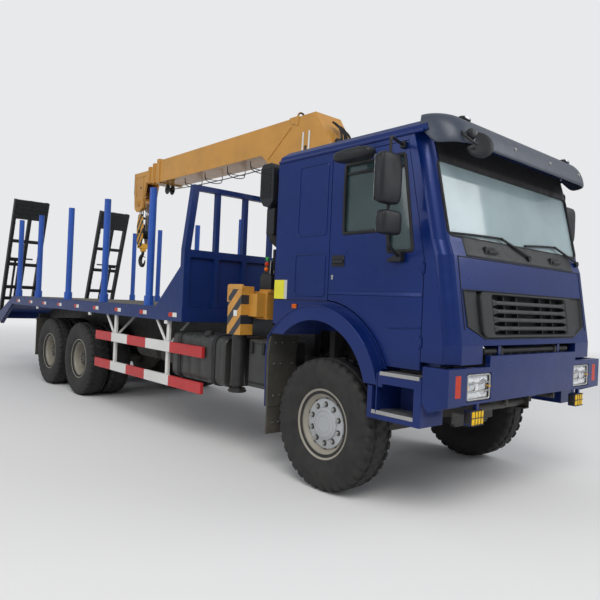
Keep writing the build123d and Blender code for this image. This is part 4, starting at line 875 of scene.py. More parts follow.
def grille():
    """Dark grille: sunken side panels, a raised frame and five deep slots with flared slats."""
    half, low, high = 983, 1373, 1734
    def shape(inset, depth):
        h, lo, hi = half - inset, low + inset * 0.6, high - inset * 0.5
        outline = ((-h, hi), (h, hi), (h - 15, lo + 90), (h - 245, lo), (-h + 245, lo), (-h + 15, lo + 90))
        return [(x, front_y(z) + depth, z) for x, z in outline]
    build = Build()
    inner = ((-786, 1726), (786, 1726), (786, 1470), (722, 1383), (-722, 1383), (-786, 1470))
    build.grid([shape(0, 30), shape(0, -6), shape(7, -9), shape(16, 10)] + [[(x, front_y(z) + depth, z)
        for x, z in inner] for depth in (12, 60)], closed=True)
    build.done("grille_frame", grille_plastic, "cab", bevel=3, replaces=("grille",))
    def panel(wide, bottom, top, corner, depth):
        return [(x, front_y(z) + depth, z) for x, z in rounded(-wide, wide, bottom, top, corner, 5)]
    build = Build()
    build.grid([panel(778, 1383, 1727, 62, 30), panel(778, 1383, 1727, 62, -10),
        panel(768, 1391, 1719, 56, -18), panel(625, 1400, 1712, 30, -16), panel(612, 1408, 1706, 26, -4),
        panel(606, 1410, 1704, 24, 56)], closed=True)
    build.done("grille_panel", grille_plastic, "cab", bevel=2)
    Build().prism("x", [(front_y(1400) + 52, 1400), (front_y(1715) + 52, 1715), (front_y(1715) + 60, 1715),
        (front_y(1400) + 60, 1400)], -640, 640).done("grille_back", rubber, "cab")
    build = Build()
    for i in range(4):
        z = 1456 + i * 65
        rows = []
        for x, reach in ((-612, 31), (-545, 17), (545, 17), (612, 31)):
            rows.append([(x, front_y(z) + 44, z - reach * 0.6), (x, front_y(z) - 12, z - reach),
                (x, front_y(z) - 16, z - reach * 0.4), (x, front_y(z) - 6, z + reach * 0.8),
                (x, front_y(z) + 44, z + reach)])
        build.solid(rows)
    for x in (-400, -200, 200, 400):
        build.prism("x", [(front_y(1408) + 14, 1408), (front_y(1706) + 14, 1706), (front_y(1706) + 50, 1706),
            (front_y(1408) + 50, 1408)], x - 7, x + 7)
    build.done("grille_slats", grille_plastic, "cab", bevel=2)


grille()


def cab_inside():
    """Seats with headrests, and the dashboard with its steering wheel."""
    build = Build()
    for side in SIDES:
        x = side * 510
        build.pillow((x, -145, 1755), (222, 250, 62), 5)
        rows = []
        for z, y, half, thick in (
            (1800, 60, 205, 45), (1900, 75, 222, 60), (2150, 115, 218, 55), (2350, 145, 200, 50),
            (2440, 158, 160, 42), (2455, 160, 140, 30)):
            rows.append([(x + half * copysign(abs(cos(a)) ** 0.5, cos(a)),
                y + thick * copysign(abs(sin(a)) ** 0.7, sin(a)), z) for a in turns(24)])
        build.solid(rows)
        build.pillow((x, 170, 2530), (105, 38, 62), 4)
        build.rod((x - 50, 168, 2440), (x - 50, 168, 2490), 8)
        build.rod((x + 50, 168, 2440), (x + 50, 168, 2490), 8)
    piece = build.done("seat_pads", seat_fabric, "cab", angle=60, replaces=("seats",))
    build = Build()
    for side in SIDES:
        x = side * 510
        build.box((x - 190, x + 190), (-310, 40), (1391, 1500))
        build.box((x - 170, x + 170), (-290, 20), (1500, 1700))
        build.box((x - 215, x - 205), (-250, -50), (1620, 1700))
    build.done("seat_bases", dash_plastic, "cab", bevel=12, segments=3)
    build = Build()
    build.prism("x", [(-1005, 1790), (-760, 1790), (-722, 1850), (-722, 1960), (-780, 2030), (-900, 2056),
        (-1005, 2050)], -1025, 1025)
    build.prism("x", [(-1000, 1391), (-720, 1391), (-740, 1790), (-1000, 1790)], -255, 255)
    build.prism("x", [(-860, 2040), (-760, 2030), (-770, 2085), (-860, 2095)], 300, 740)
    build.done("dash_body", dash_plastic, "cab", bevel=18, segments=3, replaces=("dashboard",))
    line("steering_column", [(520, -770, 1880), (520, -660, 1980), (520, -565, 2075)], 33, dash_plastic,
        "cab")
    centre = Vector((520, -560, 2080))
    side_way, up_way = Vector((1, 0, 0)), Vector((0, 1, -1)).normalized()
    rim = [centre + (side_way * cos(a) + up_way * sin(a)) * 215 for a in turns(16)]
    line("steering_rim", [tuple(p) for p in rim], 16, rubber, "cab", True)
    for i, a in enumerate((0.4, pi - 0.4, -pi / 2)):
        end = centre + (side_way * cos(a) + up_way * sin(a)) * 205
        line(f"steering_spoke_{i}", [tuple(centre), tuple((centre + end) / 2), tuple(end)], 13, rubber, "cab")


cab_inside()


def intake():
    build = Build()
    outline = [(875, 2560), (880, 2900), (920, 2936), (1050, 2936), (1085, 2890), (1085, 2600), (1030, 2520),
        (930, 2495)]
    build.prism("x", outline, -1143, -945)
    build.box((-1108, -1002), (885, 1005), (2235, 2500))
    build.done("intake_box", plastic, "cab", bevel=14, segments=3, replaces=("intake",))
    build = Build()
    for i in range(13):
        z = 2600 + i * 23
        build.box((-1150, -1142), (905, 1060), (z, z + 9))
    build.done("intake_louvres", rubber, "cab", bevel=2)
    line("intake_duct", [(-1055, 945, 2300), (-1055, 945, 2240), (-1050, 940, 2200), (-1000, 900, 2150)], 52,
        rubber, "cab")
    build = Build()
    for z in (2560, 2820):
        build.box((-1080, -1000), (780, 885), (z, z + 50))
    build.done("intake_brackets", cab_paint, "cab", bevel=4)


intake()


# Front end, steps and chassis

def bumper_details():
    screws = Build()
    for side in SIDES:
        name = SIDE_NAME[side]
        x0, x1 = sorted((side * 707, side * 1005))
        line(f"lamp_guard_{name}", ring_points("y", -1261, (x0, 941), (x1, 1119), 40), 8, bare_steel,
            "chassis", True)
        for i, z in enumerate((1000, 1060)):
            line(f"lamp_bar_{name}_{i}", [(x0, -1261, z), (0.5 * (x0 + x1), -1263, z), (x1, -1261, z)], 5,
                bare_steel, "chassis")
        for x in (x0, x1):
            screws.rod((x, -1248, 1030), (x, -1269.5, 1030), 10, 8, count=8)
    screws.done("guard_screws", bright_yellow, "chassis")
    surround = Build()
    for side in SIDES:
        surround.box((side * 701, side * 1011), (-1249, -1244), (935, 1125))
    surround.done("headlamp_surrounds", rubber, "chassis", bevel=4)
    lens = Build()
    for side in SIDES:
        rows = []
        for depth, inset in ((-1247, 2), (-1251, 3), (-1254, 10), (-1255, 40)):
            x0, x1 = side * (716 + inset), side * (1000 - inset)
            z0, z1 = 943 + inset, 1117 - inset
            rows.append([(x0, depth, z0), (x1, depth, z0), (x1, depth, z1), (x0, depth, z1)])
        lens.solid(rows)
    lens.done("headlamp_lenses", lamp_glass, "chassis", bevel=6, segments=3)
    bowls = Build()
    for side in SIDES:
        for x, radius in ((790, 66), (930, 50)):
            bowls.rod((side * x, -1251, 1030), (side * x, -1256.5, 1030), radius, radius - 8, count=32)
            bowls.rod((side * x, -1251, 1030), (side * x, -1258, 1030), 20, 16, count=24)
    bowls.done("headlamp_bowls", mirror_glass, "chassis", bevel=1.5)
    marks = Build()
    for side in SIDES:
        marks.box((side * 1094, side * 1162), (-1270, -1262), (966, 1124))
    marks.done("bumper_reflectors", red_lens, "chassis", bevel=0.8)
    fog = Build()
    for side in SIDES:
        fog.pillow((side * 850, -1230, 805), (86, 34, 59), 6)
    fog.done("fog_bodies", rubber, "chassis", angle=50)
    fog = Build()
    for side in SIDES:
        fog.box((side * 776, side * 924), (-1266, -1254), (756, 854))
    fog.done("fog_lenses", amber_lens, "chassis", bevel=4, segments=3)
    fog = Build()
    for side in SIDES:
        for x in (812, 850, 888):
            fog.rod((side * x, -1266.4, 752), (side * x, -1266.4, 858), 3.2, count=10)
        for z in (752, 805, 858):
            fog.rod((side * 772, -1266.4, z), (side * 928, -1266.4, z), 3.2, count=10)
    fog.done("fog_bars", dark_steel, "chassis")
    edge = Build()
    edge.box((-1238, 1238), (-1232, -1222), (910, 924))
    for side in SIDES:
        edge.box((side * 724, side * 1240), (-1236, -1222), (1160, 1171))
    edge.box((-716, 716), (-1236, -1222), (1240, 1251))
    edge.done("bumper_folds", cab_paint, "chassis", bevel=3)
    tow = Build()
    for side in SIDES:
        tow.box((side * 380, side * 410), (-1240, -1080), (850, 920))
        tow.rod((side * 360, -1215, 868), (side * 430, -1215, 868), 16)
    tow.done("tow_pins", frame_paint, "chassis", bevel=4)
    bar = Build()
    bar.rod((-700, -1180, 1275), (700, -1180, 1275), 26)
    for x in range(-600, 601, 150):
        bar.box((x - 12, x + 12), (-1200, -1160), (1150, 1275))
    bar.box((-690, 690), (-1188, -1172), (1010, 1150))
    bar.done("front_cross_bar", frame_paint, "chassis", bevel=3)


bumper_details()


def steps():
    build = Build()
    for y0, y1, z in ((-1035, -655, 1085), (-978, -590, 787)):
        build.box((-1242, -985 if z > 1000 else -1005), (y0 + 8, y1 - 8), (z, z + 4))
    build.mirror().done("step_treads", tread_plate, "chassis")
    build = Build()
    for y0, y1, z in ((-1030, -660, 1085), (-985, -590, 787)):
        build.prism("y", [(-1252, z - 22), (-1238, z - 22), (-1238, z + 7), (-1250, z + 7)], y0, y1)
    build.mirror().done("step_edges", bare_steel, "chassis", bevel=2)
    build = Build()
    for y in (-640, -1050):
        build.prism("x", [(y, 735), (y + 12, 735), (y + 12, 1080), (y, 1080)], -1252, -1200)
    build.box((-1252, -1215), (-1040, -560), (727, 745))
    build.mirror().done("step_folds", cab_paint, "chassis", bevel=5)


steps()


def front_guards():
    build = Build()
    for side in SIDES:
        build.prism("x", [(722, 600), (738, 600), (752, 1100), (730, 1268), (712, 1268), (733, 1100)],
            side * 1205, side * 1249)
    build.done("guard_edges", cab_paint, "chassis", bevel=5)
    build = Build()
    for side in SIDES:
        for y, z in ((688, 700), (694, 1000), (686, 1200), (690, 450)):
            for x in (960, 1100, 1180):
                build.rod((side * x, y + 5, z), (side * x, y - 9, z), 10, 8, count=10)
    build.done("guard_bolts", bare_steel, "chassis")


front_guards()


def tank():
    """Rounded fuel tank with ribs, straps and cap; the boxes and the air tanks."""
    def section(y, inset):
        outline = rounded(-1200 + inset, -640 - inset, 660 + inset, 1190 - inset, 90, 6)
        return [(x, y, z) for x, z in outline]
    build = Build()
    rows = [section(1480, 26), section(1484, 10), section(1496, 2)]
    for y in (1580, 1760, 1960, 2160, 2360):
        rows += [section(y - 8, 2), section(y, 7), section(y + 8, 2)]
    rows += [section(2554, 2), section(2566, 10), section(2570, 26)]
    build.solid(rows)
    build.done("tank_body", tank_paint, "chassis", replaces=("fuel_tank",))
    build = Build()
    for y in (1660, 2370):
        build.grid([section(y, -7), section(y + 62, -7)], closed=True)
        build.grid([section(y, 2), section(y, -7)], closed=True)
        build.grid([section(y + 62, -7), section(y + 62, 2)], closed=True)
        build.box((-700, -430), (y, y + 62), (770, 850))
        build.box((-640, -600), (y + 10, y + 52), (650, 1180))
    build.done("tank_straps", rubber, "chassis")
    build = Build()
    build.rod((-1130, 1900, 1178), (-1130, 1900, 1222), 52, 48, count=28)
    build.rod((-1130, 1900, 1222), (-1130, 1900, 1232), 40, 34, count=28)
    build.done("tank_cap", dark_steel, "chassis", bevel=3)
    build = Build()
    build.box((-1140, -645), (838, 1160), (722, 1190))
    build.box((-1150, -640), (845, 1150), (1150, 1200))
    build.box((-700, -430), (960, 1040), (790, 880))
    build.box((560, 1180), (1505, 2415), (650, 1150))
    build.box((430, 700), (1640, 1720), (790, 880))
    build.box((430, 700), (2200, 2280), (790, 880))
    build.done("battery_box", tank_paint, "chassis", bevel=26, segments=4, replaces=("side_boxes",))
    build = Build()
    for y in (900, 1090):
        build.box((-1160, -1139), (y - 20, y + 20), (1060, 1180))
        build.rod((-1165, y, 1070), (-1140, y, 1070), 10)
    build.box((-1146, -1139), (870, 1130), (760, 780))
    for y in (1580, 1840, 2100, 2340):
        build.box((1178, 1186), (y - 12, y + 12), (700, 1110))
    build.done("battery_clasps", rubber, "chassis", bevel=3)
    tanks = Build()
    for side in SIDES:
        for y, z, length in ((2950, 800, 760), (3850, 820, 560)):
            tanks.rod((side * 620, y, z), (side * 620, y + length, z), 118, count=32)
            tanks.rod((side * 620, y - 34, z), (side * 620, y, z), 60, 118, count=32)
            tanks.rod((side * 620, y + length, z), (side * 620, y + length + 34, z), 118, 60, count=32)
            for k in (0.2, 0.8):
                tanks.box((side * 430, side * 620), (y + length * k - 18, y + length * k + 18),
                    (z - 6, z + 130))
    tanks.done("air_tanks", frame_paint, "chassis", bevel=3)


tank()


def side_guards():
    """Rails in red and white lengths, and their posts."""
    cuts = (1850, 2560, 3170, 3690, 4180, 4715)
    for tag, material, parity in (("red", red_paint, 0), ("white", white_paint, 1)):
        build = Build()
        for high in (665, 1056):
            for i, (y0, y1) in enumerate(zip(cuts, cuts[1:])):
                if i % 2 == parity:
                    build.box((-1251, -1211), (y0, y1), (high - 121, high + 1))
        build.mirror().done("guard_rails_" + tag, material, "chassis", bevel=4)
    build = Build()
    for y in (2650, 4120):
        build.box((-1212, -1180), (y, y + 60), (545, 1303))
        build.rod((-1195, y + 30, 1000), (-920, y + 30, 1290), 17)
        build.rod((-1195, y + 60, 1010), (-1195, y + 330, 1295), 17)
        for z in (605, 996):
            build.hexagon((-1250, y + 18, z), (-1, 0, 0), 9, 6)
            build.hexagon((-1250, y + 42, z), (-1, 0, 0), 9, 6)
    build.mirror().done("guard_posts", white_paint, "chassis", bevel=3)


side_guards()
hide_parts("side_guards")


def deck_details():
    Build().box((-1189, 1189), (2392, 8838), (1464, 1467)).done("deck_floor", dusty_deck, "chassis")
    for colour, material, offset in (("red", red_lens, 95), ("white", white_paint, 0)):
        build = Build()
        for i in range(9):
            y = 2420 + i * 745
            build.box((-1254, -1249), (y + offset, y + offset + 92), (1352, 1402))
        build.mirror().done("rail_marks_" + colour, material, "chassis", bevel=1.5)
    build = Build()
    for y in (2640, 4950, 7330):
        build.box((-1252, -1225), (y, y + 70), (1262, 1303))
    build.mirror().done("side_lamps", white_paint, "chassis", bevel=5)
    build = Build()
    for _ in range(2):  # two prisms in one place; the fold's edge renders darker for it
        build.prism("x", [(8842, 1303), (9606, 884), (9650, 900), (9792, 984), (9792, 1002), (9640, 918),
            (9606, 902), (8850, 1321)], 1247, 1252)
    build.mirror().done("tail_fold", deck_paint, "chassis")
    build = Build()
    for side in SIDES:
        build.box((side * 760, side * 1120), (9796, 9806), (985, 1060))
    build.done("tail_lamps", red_lens, "chassis", bevel=5)
    build = Build()
    for y in (3246, 4638, 6051, 7527, 8690):
        build.rod((-1185, y, 1560), (-1185, y, 1590), 64, 50, count=32)
        build.rod((-1185, y, 2940), (-1185, y, 2953), 47, 44, count=32)
        build.rod((-1185, y, 1464), (-1185, y, 1474), 74, 68, count=32)
    build.mirror().done("post_collars", post_paint, "chassis", bevel=2)
    build = Build()
    for k in range(9):
        y = 8900 + k * 100
        z = 1464 - (y - 8840) / 960 * 367
        build.box((-1185, 1185), (y, y + 14), (z - 2, z + 10))
    build.done("tail_cleats", ramp_paint, "chassis", bevel=2)
    build = Build()
    for x in (-810, -405, 0, 405, 810):
        for z in (1470, 2045):
            build.box((x - 45, x + 45), (2304, 2312), (z, z + 60))
    for side in SIDES:
        build.prism("y", [(side * 1170, 1464), (side * 1130, 1464), (side * 1170, 1560)], 2308, 2320)
        build.box((side * 1252, side * 1256), (2300, 2400), (1310, 1470))
    build.done("headboard_plates", deck_paint, "chassis", bevel=3)


deck_details()


def ramp_details(side):
    """Raised bars across the ramp's face, the plate at its end, and its legs with their tube."""
    name = SIDE_NAME[side]
    body = "ramp_" + name
    lean = radians(18.5)
    def place(x, along, across):
        y = 9905 - along * sin(lean) - across * cos(lean)
        z = 1040 + along * cos(lean) - across * sin(lean)
        return (x, y, z)
    build = Build()
    def bar(x0, x1, a0, a1, w0, w1):
        rows = []
        for x in (x0, x1):
            rows.append([place(side * x, a0, w0), place(side * x, a1, w0), place(side * x, a1, w1),
                place(side * x, a0, w1)])
        build.solid(rows)
    for k in range(20):
        along = 120 + k * 118
        bar(560, 616, along, along + 16, 39, 52)
        bar(1158, 1214, along, along + 16, 39, 52)
        bar(862, 912, along, along + 16, 39, 52)
    for k in range(3):
        bar(600, 1175, 2230 + k * 90, 2246 + k * 90, 39, 50)
    bar(560, 1214, 2484, 2498, -40, 44)
    build.done("ramp_bars_" + name, ramp_paint, body, bevel=2)
    build = Build()
    for x in (933, 1013):
        bar(x + 4, x + 26, 340, 1240, -104, -60)
    build.rod(place(side * 700, 1250, -50), place(side * 1180, 1250, -50), 16)
    build.done("ramp_legs_" + name, dark_steel, body, bevel=3)


for side in SIDES:
    ramp_details(side)


# Crane

def crane_base():
    build = Build()
    for x in (-1042, 1036):
        build.box((x, x + 6), (1026, 1396), (1404, 1676))
    for x in (-760, -480, 480, 760):
        build.box((x - 8, x + 8), (1008, 1022), (1400, 1680))
    build.box((-1030, 1030), (1012, 1022), (1660, 1684))
    build.box((-1030, 1030), (1012, 1022), (1398, 1420))
    build.done("base_ribs", crane_paint, "chassis", bevel=3)
    build = Build()
    for a in turns(20):
        build.hexagon((300 * cos(a), COLUMN_Y + 300 * sin(a), 1799), (0, 0, 1), 15, 1)
        build.hexagon((345 * cos(a), COLUMN_Y + 345 * sin(a), 1680), (0, 0, 1), 15, 22)
    build.done("base_bolts", dark_steel, "chassis")
    build = Build()
    build.box((-1002, -698), (1018, 1202), (1700, 1832))
    for i in range(6):
        build.box((-1000 + i * 46, -966 + i * 46), (1030, 1190), (1826, 1860))
    build.done("valve_block", dark_steel, "chassis", bevel=5)
    lever_foot = 1856
    for tag, y in (("a", 1060), ("b", 1120)):
        build = Build()
        for i in range(5):
            x = -985 + i * 46
            build.rod((x, y, lever_foot), (x - 12, y - 24, lever_foot + 136), 6, count=10)
        build.done("levers_" + tag, bare_steel, "chassis")
    for j, material in enumerate((green_knob, red_lens, orange_lens)):
        build = Build()
        build.pillow((-1002, 1090 + 6 * j, 2010 - 52 * j), (20, 24, 22), 2.2, rows=9, count=20)
        build.pillow((-905, 1096 + 6 * j, 2010 - 52 * j), (20, 24, 22), 2.2, rows=9, count=20)
        build.done(f"knobs_{j}", material, "chassis")
    build = Build()
    build.box((-996, -880), (1060, 1150), (1862, 1990))
    build.box((-960, -890), (1030, 1060), (1900, 2110))
    build.done("control_post", rubber, "chassis", bevel=6)
    for i in range(7):
        x = -985 + i * 38
        line(f"hose_control_{i}", [(x, 1150, 1850), (x, 1200, 1880 + 12 * i), (x + 120, 1260, 1840),
            (x + 380, 1330, 1760), (-240 + i * 14, 1390, 1745)], 9, rubber, "chassis")
    for i in range(5):
        x = -960 + i * 30
        line(f"hose_down_{i}", [(x, 1100, 1700), (x + 10, 1010, 1650), (x + 20, 1000, 1450),
            (x + 60, 1080, 1350)], 9, rubber, "chassis")


crane_base()


def outrigger(side):
    """Striped jack housing, its frame, the black tube below and the foot."""
    name = SIDE_NAME[side]
    body = "outrigger_beam_" + name
    x = side * JACK_X
    outer = x + (-76.5 if side < 0 else 81.5)
    Build().prism("x", [(1178.5, 1231.5), (1411.5, 1231.5), (1411.5, 1723.5), (1178.5, 1723.5)], x - 76.5,
        x + 81.5).done("jack_housing_" + name, jack_stripes, body, bevel=5, segments=3)
    Build().prism("x", [(1300, 1560), (1424, 1560), (1424, 1730), (1400, 1742), (1190, 1742), (1170, 1728),
        (1170, 1690), (1392, 1690), (1400, 1680), (1400, 1575)], outer - side * 30, outer + side * 4).done(
        "jack_frame_" + name, crane_paint, body, bevel=6)
    Build().box((outer, outer + side * 2.5), (1240, 1300), (1420, 1480)).done(
        "jack_plate_" + name, white_paint, body)
    build = Build()
    build.rod((x, JACK_Y, 713), (x, JACK_Y, 1232), 72.5, count=40)
    for z in (716, 1190):
        build.rod((x, JACK_Y, z), (x, JACK_Y, z + 40), 78, count=32)
    build.done("jack_sleeve_" + name, dark_steel, body, bevel=3)
    build = Build()
    build.rod((x, JACK_Y, 652), (x, JACK_Y, 668), 92, 96, count=36)
    build.rod((x, JACK_Y, 668), (x, JACK_Y, 690), 96, 60, count=36)
    build.done("jack_foot_" + name, dark_steel, "jack_leg_" + name, bevel=4)


for side in SIDES:
    outrigger(side)


def column_details():
    build = Build()
    build.rod((0, COLUMN_Y, 1803), (0, COLUMN_Y, 1835), 338, count=72)
    for x in (-1, 1):
        build.prism("x", [(1360, 1900), (1720, 1900), (1690, 2250), (1420, 2250)], x * 121, x * 128)
        build.prism("x", [(1200, 3180), (1360, 3180), (1350, 3330), (1210, 3330)], x * 121, x * 129)
    build.done("column_plates", crane_paint, "crane_column", bevel=4)
    for i in range(4):
        x = -60 + i * 40
        line(f"hose_column_{i}", [(x, 1360, 1900), (x, 1330, 2100), (x, 1330, 2600), (x, 1200, 3000),
            (x, 1150, 3120)], 12, rubber, "crane_column")
    build = Build()
    for x in (-142, 132):
        build.rod((x, *BOOM_PIVOT), (x + 10, *BOOM_PIVOT), 80, count=36)
    build.done("column_bosses", crane_paint, "crane_column", bevel=2)


column_details()


def boom_details():
    build = Build()
    for side in SIDES:
        x = side * 200
        for y in (5000, 5060):
            build.box((x, x + side * 17), (y - 9, y + 9), (3394, 3776))
        build.hexagon((x, *BOOM_PIVOT), (side, 0, 0), 62, 16)
        build.hexagon((x, 2040, 3130), (side, 0, 0), 55, 16)
        build.prism("x", [(1640, 3655), (1760, 3700), (1800, 3772), (1620, 3772)], x, x + side * 8)
    build.box((-216, 216), (4990, 5072), (3774, 3786))
    build.done("boom_collars", crane_paint, "boom_base", bevel=3)
    # Weld beads along the boom root's arched edge, coloured a darker yellow as painted shade.
    build = Build()
    for side in SIDES:
        x = side * 200
        build.rod((x + side * 2, 1760, 3660), (x + side * 2, 2180, 3340), 5)
    build.done("boom_welds", boom_painted_shade, "boom_base")
    eye = [(55 * cos(pi * i / 8), 1822, 3836 + 55 * sin(pi * i / 8)) for i in range(16)]
    line("lifting_eye", eye, 11.7, dark_steel, "boom_base", True)
    Build().prism("y", [(-44, 3756), (44, 3756), (34, 3796), (-34, 3796)], 1806, 1838).done(
        "eye_foot", crane_paint, "boom_base", bevel=3)
    build = Build()
    for side in SIDES:
        for y in (1440, 1545):
            x = side * 200
            build.prism("x", [(y - 14, 3240), (y + 14, 3240), (y + 4, 3560), (y - 20, 3560)], x,
                x + side * 10)
    build.done("boom_side_bars", white_paint, "boom_base", bevel=3)
    build = Build()
    build.box((-206, -200), (1478, 1512), (3260, 3400))
    build.rod((-200, 1495, 3300), (-222, 1495, 3300), 16, count=16)
    build.done("boom_side_lock", dark_steel, "boom_base", bevel=3)
    for i, (a, b, c) in enumerate(((-60, 3560, 0), (-20, 3520, 14), (30, 3540, -10), (70, 3500, 6))):
        line(f"hose_root_{i}", [(a, 1200, 3640 - i * 12), (a + c, 1090, b + 20), (a + c, 1040, 3440),
            (a, 1070, 3340), (a - c, 1140, 3240)], 13, rubber, "boom_base")
    build = Build()
    build.box((-95, 95), (1085, 1125), (3300, 3420))
    build.rod((-110, 1080, 3400), (110, 1080, 3400), 30)
    build.done("root_block", dark_steel, "boom_base", bevel=6)
    for i, y in enumerate((2620, 3150, 3720, 4280)):
        line(f"rope_hanger_{i}", [(-150, y, 3398), (-150, y, 3330), (-130, y, 3285), (0, y, 3262),
            (130, y, 3285), (150, y, 3330), (150, y, 3398)], 6, dark_steel, "boom_base")
        line(f"rope_hanger_link_{i}", [(-150, y, 3335), (-100, y + 60, 3325), (100, y + 60, 3325),
            (150, y, 3335)], 5, dark_steel, "boom_base")
    line("hoist_rope_run", [(0, 1980, 3330), (0, 2300, 3310), (0, 3200, 3288), (0, 4280, 3290),
        (0, 4960, 3320)], 7, rope_steel, "boom_base")
    reel = Build()
    for x in (-48, 40):
        reel.lathe([(0, 20), (0, 78), (8, 80), (8, 20)], (x, 5010, 3322), 36)
    reel.rod((-44, 5010, 3322), (44, 5010, 3322), 34)
    reel.rod((-60, 5010, 3322), (60, 5010, 3322), 12)
    for x in (-60, 52):
        reel.box((x, x + 8), (4985, 5035), (3310, 3400))
    reel.done("rope_guide", dark_steel, "boom_base", bevel=2)
    for number, end, half, low, high in ((2, 5280, 185, 3425, 3745), (3, 5480, 160, 3450, 3720)):
        build = Build()
        for side in SIDES:
            build.box((side * half, side * (half + 5)), (end - 62, end - 48), (low, high))
            build.box((side * half, side * (half + 5)), (end - 30, end - 16), (low, high))
        build.box((-half, half), (end - 76, end - 4), (high, high + 6))
        build.done(f"section_ribs_{number}", crane_paint, f"boom_section_{number}", bevel=2)


boom_details()


def tip_details():
    build = Build()
    build.box((-128, 128), (6036, 6046), (3330, 3690))
    build.box((-60, 60), (6040, 6052), (3360, 3660))
    build.done("tip_plate", rubber, "boom_tip", bevel=4)
    build = Build()
    for side in SIDES:
        x = side * 125
        build.rod((x, TIP_Y, TIP_Z), (x + side * 16, TIP_Y, TIP_Z), 62, 58, count=36)
        build.hexagon((x + side * 16, TIP_Y, TIP_Z), (side, 0, 0), 30, 12)
        build.box((x, x + side * 6), (5700, 5716), (3180, 3640))
        build.box((x, x + side * 6), (5960, 5976), (3120, 3660))
        build.box((x, x + side * 6), (5620, 5990), (3600, 3616))
    build.done("tip_ribs", crane_paint, "boom_tip", bevel=3)
    build = Build()
    build.rod((-88, TIP_Y, TIP_Z), (88, TIP_Y, TIP_Z), 46, count=32)
    build.rod((-128, 5790, 3420), (128, 5790, 3420), 20)
    build.done("tip_sheaves", dark_steel, "boom_tip", bevel=2)


tip_details()


def hook():
    """Hanging block: striped cheeks, rope falls, swivel and hook."""
    y = TIP_Y
    build = Build()
    for side in SIDES:
        build.prism("x", [(y - 112, 2795), (y - 62, 2985), (y + 62, 2985), (y + 112, 2795), (y + 102, 2545),
            (y + 42, 2402), (y - 42, 2402), (y - 102, 2545)], side * 60, side * 84)
    build.done("hook_cheeks", hook_stripes, "hook_block", bevel=6, replaces=("hook_block",))
    build = Build()
    build.lathe([(-56, 40), (-56, 124), (-48, 126), (-36, 112), (-28, 112), (-20, 126), (-8, 126), (0, 112),
        (8, 112), (20, 126), (32, 126), (40, 112), (46, 124), (56, 124), (56, 40)], (0, y, BLOCK_Z), 48)
    build.rod((-92, y, BLOCK_Z), (92, y, BLOCK_Z), 34)
    build.hexagon((-92, y, BLOCK_Z), (-1, 0, 0), 26, 12)
    build.hexagon((92, y, BLOCK_Z), (1, 0, 0), 26, 12)
    for z in (2920, 2470):
        for dy in (-60, 60):
            build.rod((-86, y + dy * (1 if z > 2700 else 0.6), z), (86, y + dy * (1 if z > 2700 else 0.6), z),
                12)
    build.done("hook_sheaves", dark_steel, "hook_block", bevel=2)
    for i, (x, dy) in enumerate(((0, -114.3), (0, 114.3), (-30, -112), (30, 112), (30, -112), (-30, 112))):
        line(f"rope_fall_{i}", [(x, y + dy, BLOCK_Z), (x, y + dy, 2930), (x, y + dy, TIP_Z)], 8, rope_steel,
            "hook_block")
    build = Build()
    build.prism("y", [(-84, 2395), (84, 2395), (84, 2440), (50, 2480), (-50, 2480), (-84, 2440)], y - 52,
        y + 52)
    build.rod((0, y, 2340), (0, y, 2396), 46, 56, count=32)
    build.done("hook_crosshead", bright_yellow, "hook_block", bevel=8, segments=3)
    build = Build()
    path = [(y, 2345), (y + 2, 2300)] + [(y + 88 * sin(radians(t)), 2190 + 88 * cos(radians(t)))
        for t in range(18, 290, 17)]
    rows = []
    for i, (py, pz) in enumerate(path):
        before = Vector(path[max(0, i - 1)])
        after = Vector(path[min(len(path) - 1, i + 1)])
        way = (after - before).normalized()
        out = Vector((way.y, -way.x))
        share = i / (len(path) - 1)
        size = 27 + 12 * sin(pi * min(1, share * 1.25)) - 20 * max(0, share - 0.75) / 0.25
        rows.append([(size * 0.85 * cos(a), py + out.x * size * sin(a), pz + out.y * size * sin(a))
            for a in turns(16)])
    build.solid(rows)
    build.rod((0, y - 10, 2268), (0, y - 92, 2238), 7)
    build.done("hook", dark_steel, "hook_block", angle=60)


hook()


# Underneath

def running_gear():
    build = Build()
    for side in SIDES:
        for k in range(4):
            z = 545 + k * 34
            reach = 640 - k * 120
            build.box((side * 351, side * 429), (-reach * 0.3, reach * 0.3), (z - 12, z + 14))
        for y in (-70, 70):
            build.rod((side * 345, y, 480), (side * 345, y, 640), 12)
            build.rod((side * 435, y, 480), (side * 435, y, 640), 12)
    build.done("spring_clamps", frame_paint, "chassis", bevel=3)
    build = Build()
    build.prism("y", [(-250, 560), (250, 560), (330, 640), (330, 1200), (-330, 1200), (-330, 640)], -690,
        -640)
    build.box((-120, 120), (-600, 200), (560, 610))
    build.done("sump", dark_steel, "chassis", bevel=10)


running_gear()


# Floor, world and light

floor_mesh = bpy.data.meshes.new("floor")
floor_mesh.from_pydata([(-90, -90, 0), (90, -90, 0), (90, 90, 0), (-90, 90, 0)], [], [(0, 1, 2, 3)])
floor = linked("floor", floor_mesh)
BACKGROUND = (0.81, 0.815, 0.83)


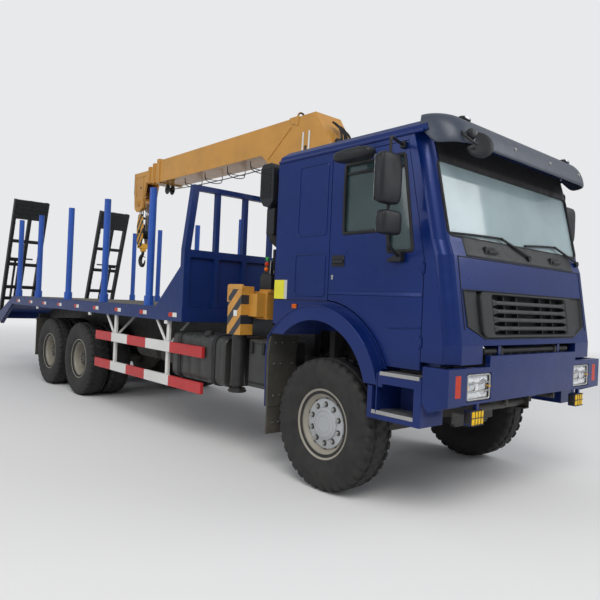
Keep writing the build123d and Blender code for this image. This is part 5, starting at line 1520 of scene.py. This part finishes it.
def pale(name):
    """Pale floor that takes the object's shadow and passes into the plain background far off."""
    material, tree, shader = node_tree(name)
    shader.inputs["Base Color"].default_value = (0.8, 0.8, 0.8, 1)
    shader.inputs["Roughness"].default_value = 0.95
    shader.inputs["Specular IOR Level"].default_value = 0.0
    place = add(tree, "ShaderNodeNewGeometry")
    far = add(tree, "ShaderNodeVectorMath", operation="LENGTH")
    tree.links.new(place.outputs["Position"], far.inputs[0])
    plain = add(tree, "ShaderNodeEmission", Color=(*BACKGROUND, 1), Strength=1.0)
    blend = add(tree, "ShaderNodeMixShader")
    tree.links.new(ramp(tree, far.outputs["Value"], 7, 22), blend.inputs[0])
    tree.links.new(shader.outputs[0], blend.inputs[1])
    tree.links.new(plain.outputs[0], blend.inputs[2])
    tree.links.new(blend.outputs[0], tree.nodes["Material Output"].inputs["Surface"])
    return material


floor_mesh.materials.append(pale("floor"))

world = bpy.data.worlds.new("studio")
bpy.context.scene.world = world
world.use_nodes = True
tree = world.node_tree
tree.nodes.clear()
path = add(tree, "ShaderNodeLightPath")
backdrop = add(tree, "ShaderNodeBackground", Color=(*BACKGROUND, 1), Strength=1.0)
ambient = add(tree, "ShaderNodeBackground", Color=(0.93, 0.96, 1.0, 1), Strength=0.5)
either = add(tree, "ShaderNodeMath", operation="MAXIMUM")
tree.links.new(path.outputs["Is Camera Ray"], either.inputs[0])
tree.links.new(path.outputs["Is Transmission Ray"], either.inputs[1])
pick = add(tree, "ShaderNodeMixShader")
tree.links.new(either.outputs[0], pick.inputs[0])
tree.links.new(ambient.outputs[0], pick.inputs[1])
tree.links.new(backdrop.outputs[0], pick.inputs[2])
output = add(tree, "ShaderNodeOutputWorld")
tree.links.new(pick.outputs[0], output.inputs[0])


def lamp(name, place, target, energy, size, colour=(1, 1, 1)):
    data = bpy.data.lights.new(name, "AREA")
    data.energy = energy
    data.size = size
    data.color = colour
    piece = linked(name, data)
    piece.location = place
    way = Vector(target) - Vector(place)
    piece.rotation_euler = way.to_track_quat("-Z", "Y").to_euler()


lamp("key", (-9, -13, 14), (0, -1, 1), 1500, 9, (1, 0.97, 0.93))
lamp("side", (-16, 3, 9), (0, 1, 1.5), 560, 9, (0.97, 0.99, 1))
lamp("front", (8, -13, 9), (0, -3, 2), 520, 8)

bpy.context.scene.view_settings.view_transform = "Standard"
